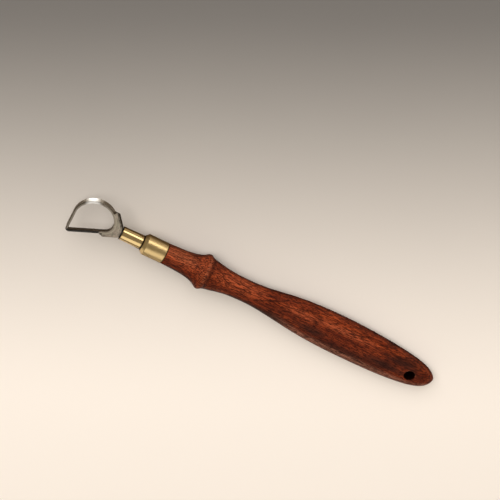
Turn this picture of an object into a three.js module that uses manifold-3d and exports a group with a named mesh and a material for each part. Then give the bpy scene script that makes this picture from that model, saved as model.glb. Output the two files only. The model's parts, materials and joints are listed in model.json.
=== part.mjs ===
// Pottery loop tool: a bent steel cutting loop on a saddle, a shank, turned brass and a paddle handle.
// All sizes are in millimetres and degrees.
// The tool is drawn along its own axis: x = 0 is the back end of the ferrule, +x runs to the handle's
// tip, +y is the side of the loop's round arch and +z is the broad front face.
// At the end it is laid on its collar and paddle, as it lies on a bench.
import * as THREE from "three";
import { mergeVertices } from "three/addons/utils/BufferGeometryUtils.js";
import Module from "manifold-3d";

const wasm = await Module();
wasm.setup();

// Clearances
const seatGap = 0.3;
const slideGap = 0.1;
const fillGap = 0.05;
const cutMargin = 2;

// Cutting loop
const bandWidth = 3.6;
const bandThickness = 1.3;
const archRadius = 11.05;
const bandAheadOfNeck = 4.93;
const archOffset = 0.52;
const heelRadius = 5.95;
const stripAngle = 25.6;
const stripBelowArch = 7.21;
const sideLean = 1.9;
const toeBendRadius = 1.2;
const rimRadius = 0.5;
const rimEase = 0.15;
const bevelHeight = 0.9;
const edgeThickness = 0.3;
const buttGap = 0.8;

// Brazed seat and saddle yoke
const brazeFilm = 0.3;
const brazeSetBack = 2;
const upperArmAngle = 46;
const upperArmWidth = 2.1;
const upperArmTip = 0.85;
const armTipSlope = 28;
const lowerArmReach = 2.9;
const lowerArmCorner = 0.9;
const lowerArmWidth = 1.85;
const yokeBackUpper = 3;
const yokeBackLower = 2.75;
const yokeShoulder = 1.6;
const yokeBevel = 0.22;

// Steel shank
const shankRadius = 1.8;
const spigotRadius = 1.25;
const spigotLength = 3.2;
const shankInWood = 30;
const shankChamfer = 0.4;

// Brass neck
const neckLength = 12;
const neckFrontRadius = 3.7;
const neckBackRadius = 3.95;
const neckSpigotRadius = 2.7;
const neckSpigotLength = 3.6;
const jointBevel = 0.15;

// Brass ferrule
const ferruleLength = 13.5;
const ferruleRadius = 5.9;
const ferruleChamfer = 1.85;
const ferruleFrontWall = 4.6;
const tenonRadius = 4.3;

// Wooden handle: flare and collar
const woodInset = 0.05;
const flareHold = 9;
const flareRadius = 6.25;
const flarePull = 5.3;
const collarAt = 23.8;
const collarRadius = 10.3;
const collarLead = 1.2;
const collarLeadDrop = 0.5;
const collarTrail = 1.6;
const collarTrailDrop = 0.8;
const collarSettle = 0.6;
const dropLength = 4.6;
const dropDepth = 1.2;
const dropPull = 6;

// Wooden handle: waist
const waistAt = 50;
const waistUpper = 6.75;
const waistLower = 5.95;
const waistHalfThickness = 6.3;
const waistPull = 10;
const waistRun = 19;
const waistCresting = 0.25;

// Wooden handle: paddle and nose
const paddleUpper = 12.15;
const paddleUpperAt = 110;
const paddleLower = 12;
const paddleLowerAt = 120;
const paddleRun = 38;
const paddleCrown = 6;
const paddleBreadth = 1.15;
const paddleSquareness = 0.3;
const paddleSwellFrom = 4;
const handleLength = 176.2;
const noseRun = 15;
const noseFullnessUpper = 9.7;
const noseFullnessLower = 12.8;
const noseRoll = 13;
const flatHalfThickness = 5.4;
const flatStart = 92;
const flatRunOutRadius = 220;

// Wooden handle: bore and hanging hole
const shankBoreRadius = 2.3;
const shankBoreSpare = 2;
const holeRadius = 3.2;
const holeFromTip = 16.4;
const holeOffset = -0.9;
const holeRimEase = 0.45;

// Facet counts
const turnedSides = 40;
const holeSides = 24;
const archSteps = 36;
const heelSteps = 12;
const bendSteps = 6;
const rimSteps = 3;
const cornerSteps = 6;
const handleSides = 40;
const outlineSteps = 40;
const runOutSteps = 14;
const handleSections = { flare: 5, approach: 4, collar: 6, drop: 3, waist: 13, paddle: 12, nose: 10 };

// Places that follow from the sizes
const neckBack = -ferruleLength - seatGap;
const neckFront = neckBack - neckLength;
const yokeBack = neckFront - seatGap;
const archCentre = new THREE.Vector2(neckFront - bandAheadOfNeck - archRadius, archOffset);
const woodFront = seatGap;
const shankEnd = woodFront + shankInWood;

function radians(degrees) {
  return THREE.MathUtils.degToRad(degrees);
}

// Solids

function weld(geometry) {
  // Join shared corners, drop faces without area and turn all faces outward
  const bare = geometry.index ? geometry.toNonIndexed() : geometry.clone();
  bare.deleteAttribute("normal");
  bare.deleteAttribute("uv");
  const merged = mergeVertices(bare, 1e-5);
  const place = merged.getAttribute("position");
  const kept = [];
  let volume = 0;
  const corners = [new THREE.Vector3(), new THREE.Vector3(), new THREE.Vector3()];
  for (let i = 0; i < merged.index.count; i += 3) {
    const face = [0, 1, 2].map((k) => merged.index.getX(i + k));
    if (new Set(face).size === 3) {
      face.forEach((vertex, k) => corners[k].fromBufferAttribute(place, vertex));
      volume += corners[0].dot(corners[1].clone().cross(corners[2]));
      kept.push(face);
    }
  }
  if (volume < 0) {
    kept.forEach((face) => face.reverse());
  }
  merged.setIndex(kept.flat());
  return merged;
}

function toSolid(geometry) {
  const welded = weld(geometry);
  return new wasm.Manifold(new wasm.Mesh({
    numProp: 3,
    vertProperties: new Float32Array(welded.getAttribute("position").array),
    triVerts: new Uint32Array(welded.index.array),
  }));
}

function toGeometry(solid) {
  const mesh = solid.getMesh();
  const geometry = new THREE.BufferGeometry();
  geometry.setAttribute("position", new THREE.BufferAttribute(mesh.vertProperties, 3));
  geometry.setIndex(new THREE.BufferAttribute(mesh.triVerts, 1));
  return geometry;
}

function turned(profile) {
  // A solid of revolution about the tool's axis, from [place along the axis, radius] pairs
  const points = profile.map(([along, radius]) => new THREE.Vector2(radius, along));
  return new THREE.LatheGeometry(points, turnedSides).rotateZ(-Math.PI / 2);
}

function stackOutlines(levels) {
  // A closed solid through flat outlines that have the same number of points, at rising heights
  const count = levels[0].outline.length;
  const positions = levels.flatMap(({ height, outline }) => outline.flatMap((p) => [p.x, p.y, height]));
  const faces = [];
  for (let level = 0; level + 1 < levels.length; level++) {
    for (let i = 0; i < count; i++) {
      const here = level * count + i;
      const next = level * count + ((i + 1) % count);
      faces.push(here, next, next + count);
      faces.push(here, next + count, here + count);
    }
  }
  const top = (levels.length - 1) * count;
  const bottomCap = THREE.ShapeUtils.triangulateShape(levels[0].outline, []);
  const topCap = THREE.ShapeUtils.triangulateShape(levels.at(-1).outline, []);
  bottomCap.forEach(([a, b, c]) => faces.push(c, b, a));
  topCap.forEach(([a, b, c]) => faces.push(top + a, top + b, top + c));
  const geometry = new THREE.BufferGeometry();
  geometry.setAttribute("position", new THREE.Float32BufferAttribute(positions, 3));
  geometry.setIndex(faces);
  return geometry;
}

function arc(centre, radius, fromAngle, toAngle, steps) {
  return Array.from({ length: steps + 1 }, (_, i) => {
    const angle = THREE.MathUtils.lerp(fromAngle, toAngle, i / steps);
    return new THREE.Vector2(
      centre.x + radius * Math.cos(angle),
      centre.y + radius * Math.sin(angle),
    );
  });
}

// Path of the loop's band
// It runs round the arch, down the straight side, round the toe, along the strip and up the heel.

const stripDirection = radians(stripAngle);
const stripNormal = stripDirection - Math.PI / 2;
const sideNormal = Math.PI + radians(sideLean);
const heelToArch = archRadius - heelRadius;
const heelDrop = stripBelowArch - heelRadius;
const heelTurn = Math.acos(heelDrop / heelToArch);
const heelStart = stripNormal + heelTurn;
const heelCentre = new THREE.Vector2(
  archCentre.x + heelToArch * Math.cos(heelStart),
  archCentre.y + heelToArch * Math.sin(heelStart),
);

function toeBendCentre() {
  // The bend's centre lies one bend radius inside both the straight side and the strip
  const fromSide = archRadius - toeBendRadius;
  const fromStrip = stripBelowArch - toeBendRadius;
  const spread = Math.sin(stripNormal - sideNormal);
  return new THREE.Vector2(
    archCentre.x + (fromSide * Math.sin(stripNormal) - fromStrip * Math.sin(sideNormal)) / spread,
    archCentre.y + (fromStrip * Math.cos(sideNormal) - fromSide * Math.cos(stripNormal)) / spread,
  );
}

const toeCentre = toeBendCentre();

function bandPath(offset, endTrim) {
  // Points of the band at a distance outside its middle line, with endTrim of length left out at each end
  const archTrim = endTrim / archRadius;
  const heelTrim = endTrim / heelRadius;
  const arch = arc(archCentre, archRadius + offset, heelStart + archTrim, sideNormal, archSteps);
  const toe = arc(toeCentre, toeBendRadius + offset, sideNormal, 2 * Math.PI + stripNormal, bendSteps);
  const heel = arc(heelCentre, heelRadius + offset, stripNormal, heelStart - heelTrim, heelSteps);
  return [...arch, ...toe, ...heel];
}

// Cutting loop
// A strip on edge, bent to a round arch with one sharp toe, ground to an edge along the back and
// rounded along the front rim.

function makeCuttingLoop() {
  const face = bandThickness / 2;
  const front = bandWidth / 2;
  const levels = [
    { height: -front, outer: face, inner: face - edgeThickness },
    { height: -front + bevelHeight, outer: face, inner: -face },
  ];
  for (let step = 0; step <= rimSteps; step++) {
    const turn = Math.PI / 2 * step / rimSteps;
    const drawnIn = 1 - Math.cos(turn);
    levels.push({
      height: front - rimRadius * (1 - Math.sin(turn)),
      outer: face - rimRadius * drawnIn,
      inner: -face + rimEase * drawnIn,
    });
  }
  return stackOutlines(levels.map(({ height, outer, inner }) => {
    const outside = bandPath(outer, buttGap / 2);
    const inside = bandPath(inner, buttGap / 2);
    return { height, outline: [...outside, ...inside.reverse()] };
  }));
}

// Saddle yoke
// A plate cut to the outside of the band, with a long upper arm, a short lower arm and a socket behind.

function seatCutter(clearance) {
  const half = bandWidth / 2 + cutMargin;
  const outline = bandPath(bandThickness / 2 + clearance, 0);
  return toSolid(stackOutlines([-half, half].map((height) => ({ height, outline }))));
}

function alongArch(angle, offset) {
  return new THREE.Vector2(
    archCentre.x + (archRadius + offset) * Math.cos(radians(angle)),
    archCentre.y + (archRadius + offset) * Math.sin(radians(angle)),
  );
}

function alongStrip(reach, offset) {
  // A point outside the strip, at a distance from the heel toward the toe
  return new THREE.Vector2(
    heelCentre.x + (heelRadius + offset) * Math.cos(stripNormal) - reach * Math.cos(stripDirection),
    heelCentre.y + (heelRadius + offset) * Math.sin(stripNormal) - reach * Math.sin(stripDirection),
  );
}

function yokeOutline() {
  const face = bandThickness / 2;
  const armRoot = alongArch(upperArmAngle, 0);
  const armTop = armRoot.y + face + upperArmWidth;
  const lowerCorner = alongStrip(lowerArmCorner, face + lowerArmWidth);
  const lowerNose = alongStrip((lowerArmCorner + lowerArmReach) / 2, face + lowerArmWidth / 4);
  const lowerToe = alongStrip(lowerArmReach, face);
  const shape = new THREE.Shape();
  shape.moveTo(armRoot.x, armRoot.y);
  shape.lineTo(armRoot.x + face, armTop);
  shape.lineTo(armRoot.x + face + upperArmTip, armTop);
  shape.lineTo(yokeBack - yokeShoulder / 2, yokeBackUpper + yokeShoulder / 2);
  shape.quadraticCurveTo(yokeBack, yokeBackUpper, yokeBack, yokeBackUpper - yokeShoulder);
  shape.lineTo(yokeBack, -yokeBackLower);
  shape.lineTo(lowerCorner.x, lowerCorner.y);
  shape.quadraticCurveTo(lowerNose.x, lowerNose.y, lowerToe.x, lowerToe.y);
  shape.lineTo(heelCentre.x, heelCentre.y);
  return { shape, armTop };
}

function armTipCutter(armTop) {
  // The upper arm's end slopes back, so it is shorter at the back face
  const size = archRadius;
  const block = new THREE.BoxGeometry(size, size, size).translate(0, size / 2, 0);
  block.rotateX(radians(-armTipSlope));
  return block.translate(archCentre.x + archRadius, armTop, bandWidth / 2);
}

function makeYoke() {
  const { shape, armTop } = yokeOutline();
  const plate = new THREE.ExtrudeGeometry(shape, {
    depth: bandWidth - 2 * yokeBevel,
    bevelThickness: yokeBevel,
    bevelSize: yokeBevel,
    bevelOffset: -yokeBevel,
    bevelSegments: 1,
    curveSegments: cornerSteps,
  });
  plate.translate(0, 0, -bandWidth / 2 + yokeBevel);
  const socketDepth = spigotLength + seatGap;
  const socket = turned([
    [yokeBack - socketDepth, 0],
    [yokeBack - socketDepth, spigotRadius + fillGap],
    [yokeBack + cutMargin, spigotRadius + fillGap],
    [yokeBack + cutMargin, 0],
  ]);
  const cutters = [seatCutter(brazeFilm), toSolid(armTipCutter(armTop)), toSolid(socket)];
  return toGeometry(cutters.reduce((solid, cutter) => solid.subtract(cutter), toSolid(plate)));
}

// Braze
// The film that fills the seat between band and yoke, with a rib between the band's two ends.

function makeBraze() {
  const face = bandThickness / 2;
  const front = bandWidth / 2;
  const armAngle = radians(upperArmAngle - brazeSetBack);
  const near = face + fillGap;
  const far = face + brazeFilm - fillGap;
  const ribHalf = buttGap / 2 - fillGap;
  const ribArch = ribHalf / archRadius;
  const ribHeel = ribHalf / heelRadius;
  const heelFar = arc(heelCentre, heelRadius + far, stripNormal, heelStart, heelSteps);
  const archFar = arc(archCentre, archRadius + far, heelStart, armAngle, heelSteps);
  const archNear = arc(archCentre, archRadius + near, armAngle, heelStart + ribArch, heelSteps);
  const heelNear = arc(heelCentre, heelRadius + near, heelStart - ribHeel, stripNormal, heelSteps);
  const levels = [
    { height: -front, ribInside: face - edgeThickness },
    { height: -front + bevelHeight, ribInside: -face },
    { height: front - rimRadius, ribInside: -face },
  ];
  return stackOutlines(levels.map(({ height, ribInside }) => {
    const ribTop = arc(archCentre, archRadius + ribInside, heelStart + ribArch, heelStart, 1);
    const ribEnd = arc(heelCentre, heelRadius + ribInside, heelStart, heelStart - ribHeel, 1);
    const outline = [...heelFar, ...archFar.slice(1), ...archNear, ...ribTop, ribEnd[1], ...heelNear];
    return { height, outline };
  }));
}

// Steel shank
// A round bar that fills the neck's bore and runs on into the wood, with a spigot for the yoke.

function makeShank() {
  const shoulder = yokeBack + seatGap;
  const tip = yokeBack - spigotLength;
  return turned([
    [tip, 0],
    [tip, spigotRadius - shankChamfer],
    [tip + shankChamfer, spigotRadius],
    [shoulder, spigotRadius],
    [shoulder, shankRadius],
    [shankEnd - shankChamfer, shankRadius],
    [shankEnd, shankRadius - shankChamfer],
    [shankEnd, 0],
  ]);
}

// Brass neck
// A tapered sleeve over the shank, with a spigot that centres it in the ferrule.

function makeNeck() {
  const bore = shankRadius + slideGap;
  const spigotEnd = neckBack + seatGap + neckSpigotLength;
  return turned([
    [neckFront, bore],
    [neckFront, neckFrontRadius - jointBevel],
    [neckFront + jointBevel, neckFrontRadius],
    [neckBack - jointBevel, neckBackRadius],
    [neckBack, neckBackRadius - jointBevel],
    [neckBack, neckSpigotRadius],
    [spigotEnd, neckSpigotRadius],
    [spigotEnd, bore],
    [neckFront, bore],
  ]);
}

// Brass ferrule
// A turned cup with a steep front chamfer: the neck's spigot sits in its front wall, the tenon behind.

function makeFerrule() {
  const front = -ferruleLength;
  const frontBore = neckSpigotRadius + slideGap;
  const cupBore = tenonRadius + slideGap;
  const cupFloor = front + ferruleFrontWall;
  const chamferFoot = ferruleRadius - ferruleChamfer;
  return turned([
    [front, frontBore],
    [front, chamferFoot - jointBevel],
    [front + jointBevel, chamferFoot],
    [front + jointBevel + ferruleChamfer, ferruleRadius],
    [-jointBevel, ferruleRadius],
    [0, ferruleRadius - jointBevel],
    [0, cupBore],
    [cupFloor, cupBore],
    [cupFloor, frontBore],
    [front, frontBore],
  ]);
}

// Wooden handle
// The plan outline of each side is one path: flare, collar rim, drop, waist, paddle and nose.

function point(x, y) {
  return new THREE.Vector2(x, y);
}

function sidePath(waist, widest, widestAt, noseFullness) {
  const front = point(woodFront, ferruleRadius - woodInset);
  const lead = point(collarAt - collarLead, collarRadius - collarLeadDrop);
  const trail = point(collarAt + collarTrail, collarRadius - collarTrailDrop);
  const foot = point(trail.x + dropLength, trail.y - dropDepth);
  const slimmest = point(waistAt, waist);
  const broadest = point(widestAt, widest);
  const flareFrom = point(flareHold, flareRadius);
  const flareTo = point(collarAt - flarePull, flareRadius);
  const crestFrom = point(collarAt - collarLead / 2, collarRadius);
  const crestTo = point(collarAt + collarTrail / 2, collarRadius);
  const dropFrom = point(trail.x + dropLength / 10, trail.y - dropDepth / 2);
  const dropTo = point(foot.x - dropLength / 3, foot.y + dropDepth / 6);
  const curves = [
    [front, flareFrom, flareTo, lead],
    [lead, crestFrom, crestTo, trail],
    [trail, dropFrom, dropTo, foot],
    [foot, point(foot.x + dropPull, foot.y - dropPull / 6), point(waistAt - waistPull, waist), slimmest],
    [slimmest, point(waistAt + waistRun, waist), point(widestAt - paddleRun, widest), broadest],
    [broadest, point(widestAt + noseRun, widest), point(handleLength, noseFullness), point(handleLength, 0)],
  ];
  return curves.flatMap((corners) => new THREE.CubicBezierCurve(...corners).getPoints(outlineSteps));
}

function widthAt(outline, x) {
  const next = Math.max(1, outline.findIndex((p) => p.x >= x));
  const before = outline[next - 1];
  const after = outline[next];
  const share = (x - before.x) / Math.max(after.x - before.x, 1e-9);
  return THREE.MathUtils.lerp(before.y, after.y, THREE.MathUtils.clamp(share, 0, 1));
}

const upperSide = sidePath(waistUpper, paddleUpper, paddleUpperAt, noseFullnessUpper);
const lowerSide = sidePath(waistLower, paddleLower, paddleLowerAt, noseFullnessLower);
const collarBack = collarAt + collarTrail + collarSettle;

function sectionAt(x) {
  // A rounded section: full round at the collar, crested at the waist and broad on the paddle
  const upper = widthAt(upperSide, x);
  const lower = widthAt(lowerSide, x);
  const round = (upper + lower) / 2;
  const toWaist = THREE.MathUtils.smoothstep(x, collarBack, waistAt);
  const toPaddle = THREE.MathUtils.smoothstep(x, waistAt, flatStart);
  const crested = waistCresting * THREE.MathUtils.smoothstep(x, collarBack, waistAt - waistPull);
  const broad = paddleBreadth * THREE.MathUtils.smoothstep(x, waistAt + paddleSwellFrom, flatStart);
  const squared = paddleSquareness * THREE.MathUtils.smoothstep(x, collarBack, flatStart);
  const waistCrest = THREE.MathUtils.lerp(round, waistHalfThickness, toWaist);
  const crest = THREE.MathUtils.lerp(waistCrest, paddleCrown, toPaddle);
  const noseShare = Math.max(0, (x - (handleLength - noseRoll)) / noseRoll);
  return {
    upper,
    lower,
    crest: crest * Math.sqrt(Math.max(0, 1 - noseShare ** 2)),
    acrossPower: 2 / (2 - crested + broad),
    upPower: 2 / (2 + squared),
  };
}

function ringAt(x) {
  const { upper, lower, crest, acrossPower, upPower } = sectionAt(x);
  return Array.from({ length: handleSides }, (_, i) => {
    const angle = 2 * Math.PI * i / handleSides;
    const across = Math.cos(angle);
    const up = Math.sin(angle);
    const half = across >= 0 ? upper : lower;
    return new THREE.Vector3(
      x,
      half * Math.sign(across) * Math.abs(across) ** acrossPower,
      crest * Math.sign(up) * Math.abs(up) ** upPower,
    );
  });
}

function stretch(from, to, steps) {
  return Array.from({ length: steps }, (_, i) => THREE.MathUtils.lerp(from, to, i / steps));
}

function handlePlaces() {
  // Sections stand close at the collar and at the nose, and far apart along the paddle
  const { flare, approach, collar, drop, waist, paddle, nose } = handleSections;
  const flareEnd = collarAt - flarePull;
  const dropEnd = collarBack + dropPull;
  const noseStart = handleLength - noseRoll;
  return [
    ...stretch(woodFront, flareEnd, flare),
    ...stretch(flareEnd, collarAt - collarLead, approach),
    ...stretch(collarAt - collarLead, collarBack, collar),
    ...stretch(collarBack, dropEnd, drop),
    ...stretch(dropEnd, flatStart, waist),
    ...stretch(flatStart, noseStart, paddle),
    ...stretch(0, Math.PI / 2, nose).map((turn) => noseStart + noseRoll * Math.sin(turn)),
  ];
}

function loft(rings, tip) {
  const count = rings[0].length;
  const middle = new THREE.Vector3(rings[0][0].x, 0, 0);
  const positions = [...rings.flat(), middle, tip].flatMap((p) => [p.x, p.y, p.z]);
  const last = (rings.length - 1) * count;
  const middleIndex = rings.length * count;
  const faces = [];
  for (let i = 0; i < count; i++) {
    const next = (i + 1) % count;
    for (let start = 0; start < last; start += count) {
      faces.push(start + i, start + count + i, start + count + next);
      faces.push(start + i, start + count + next, start + next);
    }
    faces.push(middleIndex, i, next);
    faces.push(middleIndex + 1, last + next, last + i);
  }
  const geometry = new THREE.BufferGeometry();
  geometry.setAttribute("position", new THREE.Float32BufferAttribute(positions, 3));
  geometry.setIndex(faces);
  return geometry;
}

function flatsEnvelope() {
  // Two sanded flats that run out in a wide arc before the waist
  const high = collarRadius + cutMargin;
  const rise = high - flatHalfThickness;
  const sweep = Math.acos(1 - rise / flatRunOutRadius);
  const front = -ferruleLength;
  const end = handleLength + cutMargin;
  const centreZ = flatHalfThickness + flatRunOutRadius;
  const runOutCentre = point(flatStart, centreZ);
  const top = arc(runOutCentre, flatRunOutRadius, -Math.PI / 2 - sweep, -Math.PI / 2, runOutSteps);
  const upperEdge = [point(front, high), ...top, point(end, flatHalfThickness)];
  const lowerEdge = upperEdge.map((p) => point(p.x, -p.y)).reverse();
  const width = 2 * (Math.max(paddleUpper, paddleLower, collarRadius) + cutMargin);
  const block = new THREE.ExtrudeGeometry(new THREE.Shape([...upperEdge, ...lowerEdge]), {
    depth: width,
    bevelEnabled: false,
  });
  return block.translate(0, 0, -width / 2).rotateX(Math.PI / 2);
}

function hangingHole() {
  const deep = flatHalfThickness;
  const rim = holeRadius + holeRimEase;
  const out = deep + cutMargin;
  const profile = [
    [0, -out], [rim + cutMargin, -out], [rim, -deep], [holeRadius, -deep + holeRimEase],
    [holeRadius, deep - holeRimEase], [rim, deep], [rim + cutMargin, out], [0, out],
  ];
  const points = profile.map(([radius, height]) => new THREE.Vector2(radius, height));
  const hole = new THREE.LatheGeometry(points, holeSides).rotateX(Math.PI / 2);
  return hole.translate(handleLength - holeFromTip, holeOffset, 0);
}

function makeHandle() {
  const rings = handlePlaces().map(ringAt);
  const tip = new THREE.Vector3(handleLength, 0, 0);
  const tenonFront = -ferruleLength + ferruleFrontWall + seatGap;
  const boreEnd = shankEnd + shankBoreSpare;
  const tenon = turned([
    [tenonFront, 0],
    [tenonFront, tenonRadius - shankChamfer],
    [tenonFront + shankChamfer, tenonRadius],
    [woodFront + cutMargin, tenonRadius],
    [woodFront + cutMargin, 0],
  ]);
  const bore = turned([
    [tenonFront - cutMargin, 0],
    [tenonFront - cutMargin, shankBoreRadius],
    [boreEnd, shankBoreRadius],
    [boreEnd + shankBoreRadius, 0],
  ]);
  const body = toSolid(loft(rings, tip)).intersect(toSolid(flatsEnvelope()));
  return toGeometry(body.add(toSolid(tenon)).subtract(toSolid(bore)).subtract(toSolid(hangingHole())));
}

// Adhesive
// The cured glue that fills the handle's bore round the shank and behind its end.

function makeAdhesive() {
  const front = -ferruleLength + ferruleFrontWall + seatGap;
  const inner = shankRadius + fillGap;
  const outer = shankBoreRadius - fillGap;
  const floor = shankEnd + fillGap;
  return turned([
    [front, inner],
    [front, outer],
    [shankEnd + shankBoreSpare - seatGap, outer],
    [shankEnd + shankBoreSpare - seatGap, 0],
    [floor, 0],
    [floor, inner],
    [front, inner],
  ]);
}

// Assembly

const finishes = {
  loopSteel: { color: 0x9c978f, roughness: 0.28, metalness: 1 },
  yokeSteel: { color: 0x8f877b, roughness: 0.55, metalness: 1 },
  silverBraze: { color: 0xb8a56a, roughness: 0.45, metalness: 1 },
  shankSteel: { color: 0x8a8a88, roughness: 0.45, metalness: 1 },
  brass: { color: 0xc9a24e, roughness: 0.25, metalness: 1 },
  rosewood: { color: 0x7b3a24, roughness: 0.42, metalness: 0 },
  glue: { color: 0xc9b68a, roughness: 0.4, metalness: 0 },
};

function piece(name, geometry, finish) {
  const mesh = new THREE.Mesh(weld(geometry), new THREE.MeshStandardMaterial(finishes[finish]));
  mesh.name = name;
  return mesh;
}

const tool = new THREE.Group();
tool.add(
  piece("cutting_loop", makeCuttingLoop(), "loopSteel"),
  piece("loop_yoke", makeYoke(), "yokeSteel"),
  piece("seat_braze", makeBraze(), "silverBraze"),
  piece("shank", makeShank(), "shankSteel"),
  piece("brass_neck", makeNeck(), "brass"),
  piece("brass_ferrule", makeFerrule(), "brass"),
  piece("handle", makeHandle(), "rosewood"),
  piece("shank_adhesive", makeAdhesive(), "glue"),
);

function restTilt(geometry) {
  // The slope of the line under the handle that touches its collar and its paddle
  const place = geometry.getAttribute("position");
  const low = Array.from({ length: place.count }, (_, i) => point(place.getX(i), place.getZ(i)));
  low.sort((a, b) => a.x - b.x || a.y - b.y);
  const hull = [];
  for (const p of low) {
    const turnsIn = () => {
      const [a, b] = hull.slice(-2);
      return (b.x - a.x) * (p.y - a.y) <= (b.y - a.y) * (p.x - a.x);
    };
    while (hull.length > 1 && turnsIn()) {
      hull.pop();
    }
    hull.push(p);
  }
  const edges = hull.slice(1).map((p, i) => p.clone().sub(hull[i]));
  const longest = edges.reduce((best, edge) => (edge.x > best.x ? edge : best));
  return Math.atan2(longest.y, longest.x);
}

// Lay the tool down, with the middle of its bottom at the origin
tool.rotation.y = restTilt(tool.getObjectByName("handle").geometry);
tool.updateMatrixWorld(true);
const box = new THREE.Box3().setFromObject(tool, true);
const centre = box.getCenter(new THREE.Vector3());
tool.position.set(-centre.x, -centre.y, -box.min.z);
tool.updateMatrixWorld(true);

const loopTool = new THREE.Group();
loopTool.add(tool);

export default loopTool;
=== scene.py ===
"""Pottery loop tool: fine forms, finishes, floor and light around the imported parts.

The tool is drawn in its own frame: x = 0 at the joint of ferrule and wood, +x to the handle's tip,
+y on the side of the loop's round arch and +z out of the broad front face. Lengths are in metres.
"""

import json
import math

import bmesh
import bpy
import numpy as np
from mathutils import Matrix, Vector


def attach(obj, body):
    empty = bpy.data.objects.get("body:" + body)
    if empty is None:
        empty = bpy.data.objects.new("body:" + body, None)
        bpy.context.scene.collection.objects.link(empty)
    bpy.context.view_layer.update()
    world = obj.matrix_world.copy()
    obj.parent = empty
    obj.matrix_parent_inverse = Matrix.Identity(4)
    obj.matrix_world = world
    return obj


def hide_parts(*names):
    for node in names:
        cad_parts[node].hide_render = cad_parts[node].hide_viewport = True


bl_info = {
    "name": "Pottery Loop Tool",
    "version": (1, 0, 0),
    "blender": (4, 5, 0),
    "location": "3D View > Sidebar > Loop Tool",
    "description": "Makes the fine forms, finishes and light of a pottery loop tool",
    "category": "Object",
}

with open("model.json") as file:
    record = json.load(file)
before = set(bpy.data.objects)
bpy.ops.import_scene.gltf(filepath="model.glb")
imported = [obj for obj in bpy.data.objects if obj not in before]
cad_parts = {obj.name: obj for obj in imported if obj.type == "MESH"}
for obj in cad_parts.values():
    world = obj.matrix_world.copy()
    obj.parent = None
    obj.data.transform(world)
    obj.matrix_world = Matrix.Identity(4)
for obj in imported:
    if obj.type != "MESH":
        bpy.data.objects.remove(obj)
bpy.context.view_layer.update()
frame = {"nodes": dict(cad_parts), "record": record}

MM = 0.001

# Joints along the tool
SEAT_GAP = 0.3 * MM
SLIDE_GAP = 0.1 * MM
FILL_GAP = 0.02 * MM

# Loop and yoke
BAND_AHEAD_OF_NECK = 4.93 * MM
ARCH_OFFSET = 0.52 * MM
STRIP_ANGLE = math.radians(25.6)
STRIP_BELOW_ARCH = 7.21 * MM
SIDE_LEAN = math.radians(1.9)
RIM_EASE = 0.15 * MM
BEVEL_HEIGHT = 0.9 * MM
EDGE_THICKNESS = 0.3 * MM
BUTT_GAP = 0.8 * MM
UPPER_ARM_ANGLE = math.radians(46)
UPPER_ARM_TIP = 0.85 * MM
ARM_TIP_SLOPE = math.radians(28)
LOWER_ARM_REACH = 2.9 * MM
LOWER_ARM_CORNER = 0.9 * MM
LOWER_ARM_WIDTH = 1.85 * MM
YOKE_BACK_UPPER = 3.0 * MM
YOKE_BACK_LOWER = 2.75 * MM
YOKE_SHOULDER = 1.6 * MM
YOKE_EASE = 0.25 * MM
SPIGOT_RADIUS = 1.3 * MM
SPIGOT_DEPTH = 3.5 * MM
FILM_RIM_TURN = math.radians(80)

# Brass
SHANK_RADIUS = 1.8 * MM
NECK_SPIGOT_RADIUS = 2.7 * MM
NECK_SPIGOT_LENGTH = 3.6 * MM
FERRULE_FRONT_WALL = 4.6 * MM
TENON_RADIUS = 4.3 * MM
TURNED_EASE = 0.16 * MM

# Handle outline
WOOD_INSET = 0.05 * MM
FLARE_HOLD = 9 * MM
FLARE_RADIUS = 6.25 * MM
FLARE_PULL = 5.3 * MM
COLLAR_AT = 23.8 * MM
COLLAR_LEAD = 1.2 * MM
COLLAR_LEAD_DROP = 0.5 * MM
COLLAR_TRAIL = 1.6 * MM
COLLAR_TRAIL_DROP = 0.8 * MM
COLLAR_SETTLE = 0.6 * MM
COLLAR_CREASE = 2.4 * MM
DROP_LENGTH = 4.6 * MM
DROP_DEPTH = 1.2 * MM
DROP_PULL = 6 * MM
WAIST_AT = 50 * MM
WAIST_PULL = 10 * MM
WAIST_RUN = 19 * MM
WAIST_CRESTING = 0.25
PADDLE_UPPER_AT = 110 * MM
PADDLE_LOWER_AT = 120 * MM
PADDLE_RUN = 38 * MM
PADDLE_BREADTH = 1.15
PADDLE_SQUARENESS = 0.3
PADDLE_SWELL_FROM = 4 * MM
NOSE_RUN = 15 * MM
NOSE_FULLNESS_UPPER = 9.7 * MM
NOSE_FULLNESS_LOWER = 12.8 * MM
NOSE_ROLL = 13 * MM
FLAT_START = 92 * MM
FLAT_RUN_OUT_RADIUS = 220 * MM
FLAT_EASE = 0.7 * MM
FLAT_MOUNT_AT = 130 * MM
SHANK_IN_WOOD = 30 * MM
SHANK_BORE_RADIUS = 2.3 * MM
SHANK_BORE_SPARE = 2 * MM
HOLE_FROM_TIP = 16.4 * MM
HOLE_OFFSET = -0.9 * MM
HOLE_RIM_EASE = 0.45 * MM

# Fineness of the curved surfaces
ARCH_STEPS = 110
STRAIGHT_STEPS = 14
TOE_STEPS = 18
HEEL_STEPS = 40
RIM_STEPS = 7
EASE_STEPS = 4
TURNED_SIDES = 160
HANDLE_SIDES = 176
OUTLINE_STEPS = 160
HANDLE_SECTIONS = (30, 20, 32, 20, 70, 70)
NOSE_SECTIONS = 44
SHARP_ANGLE = math.radians(32)
MITER_LIMIT = -0.2

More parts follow.
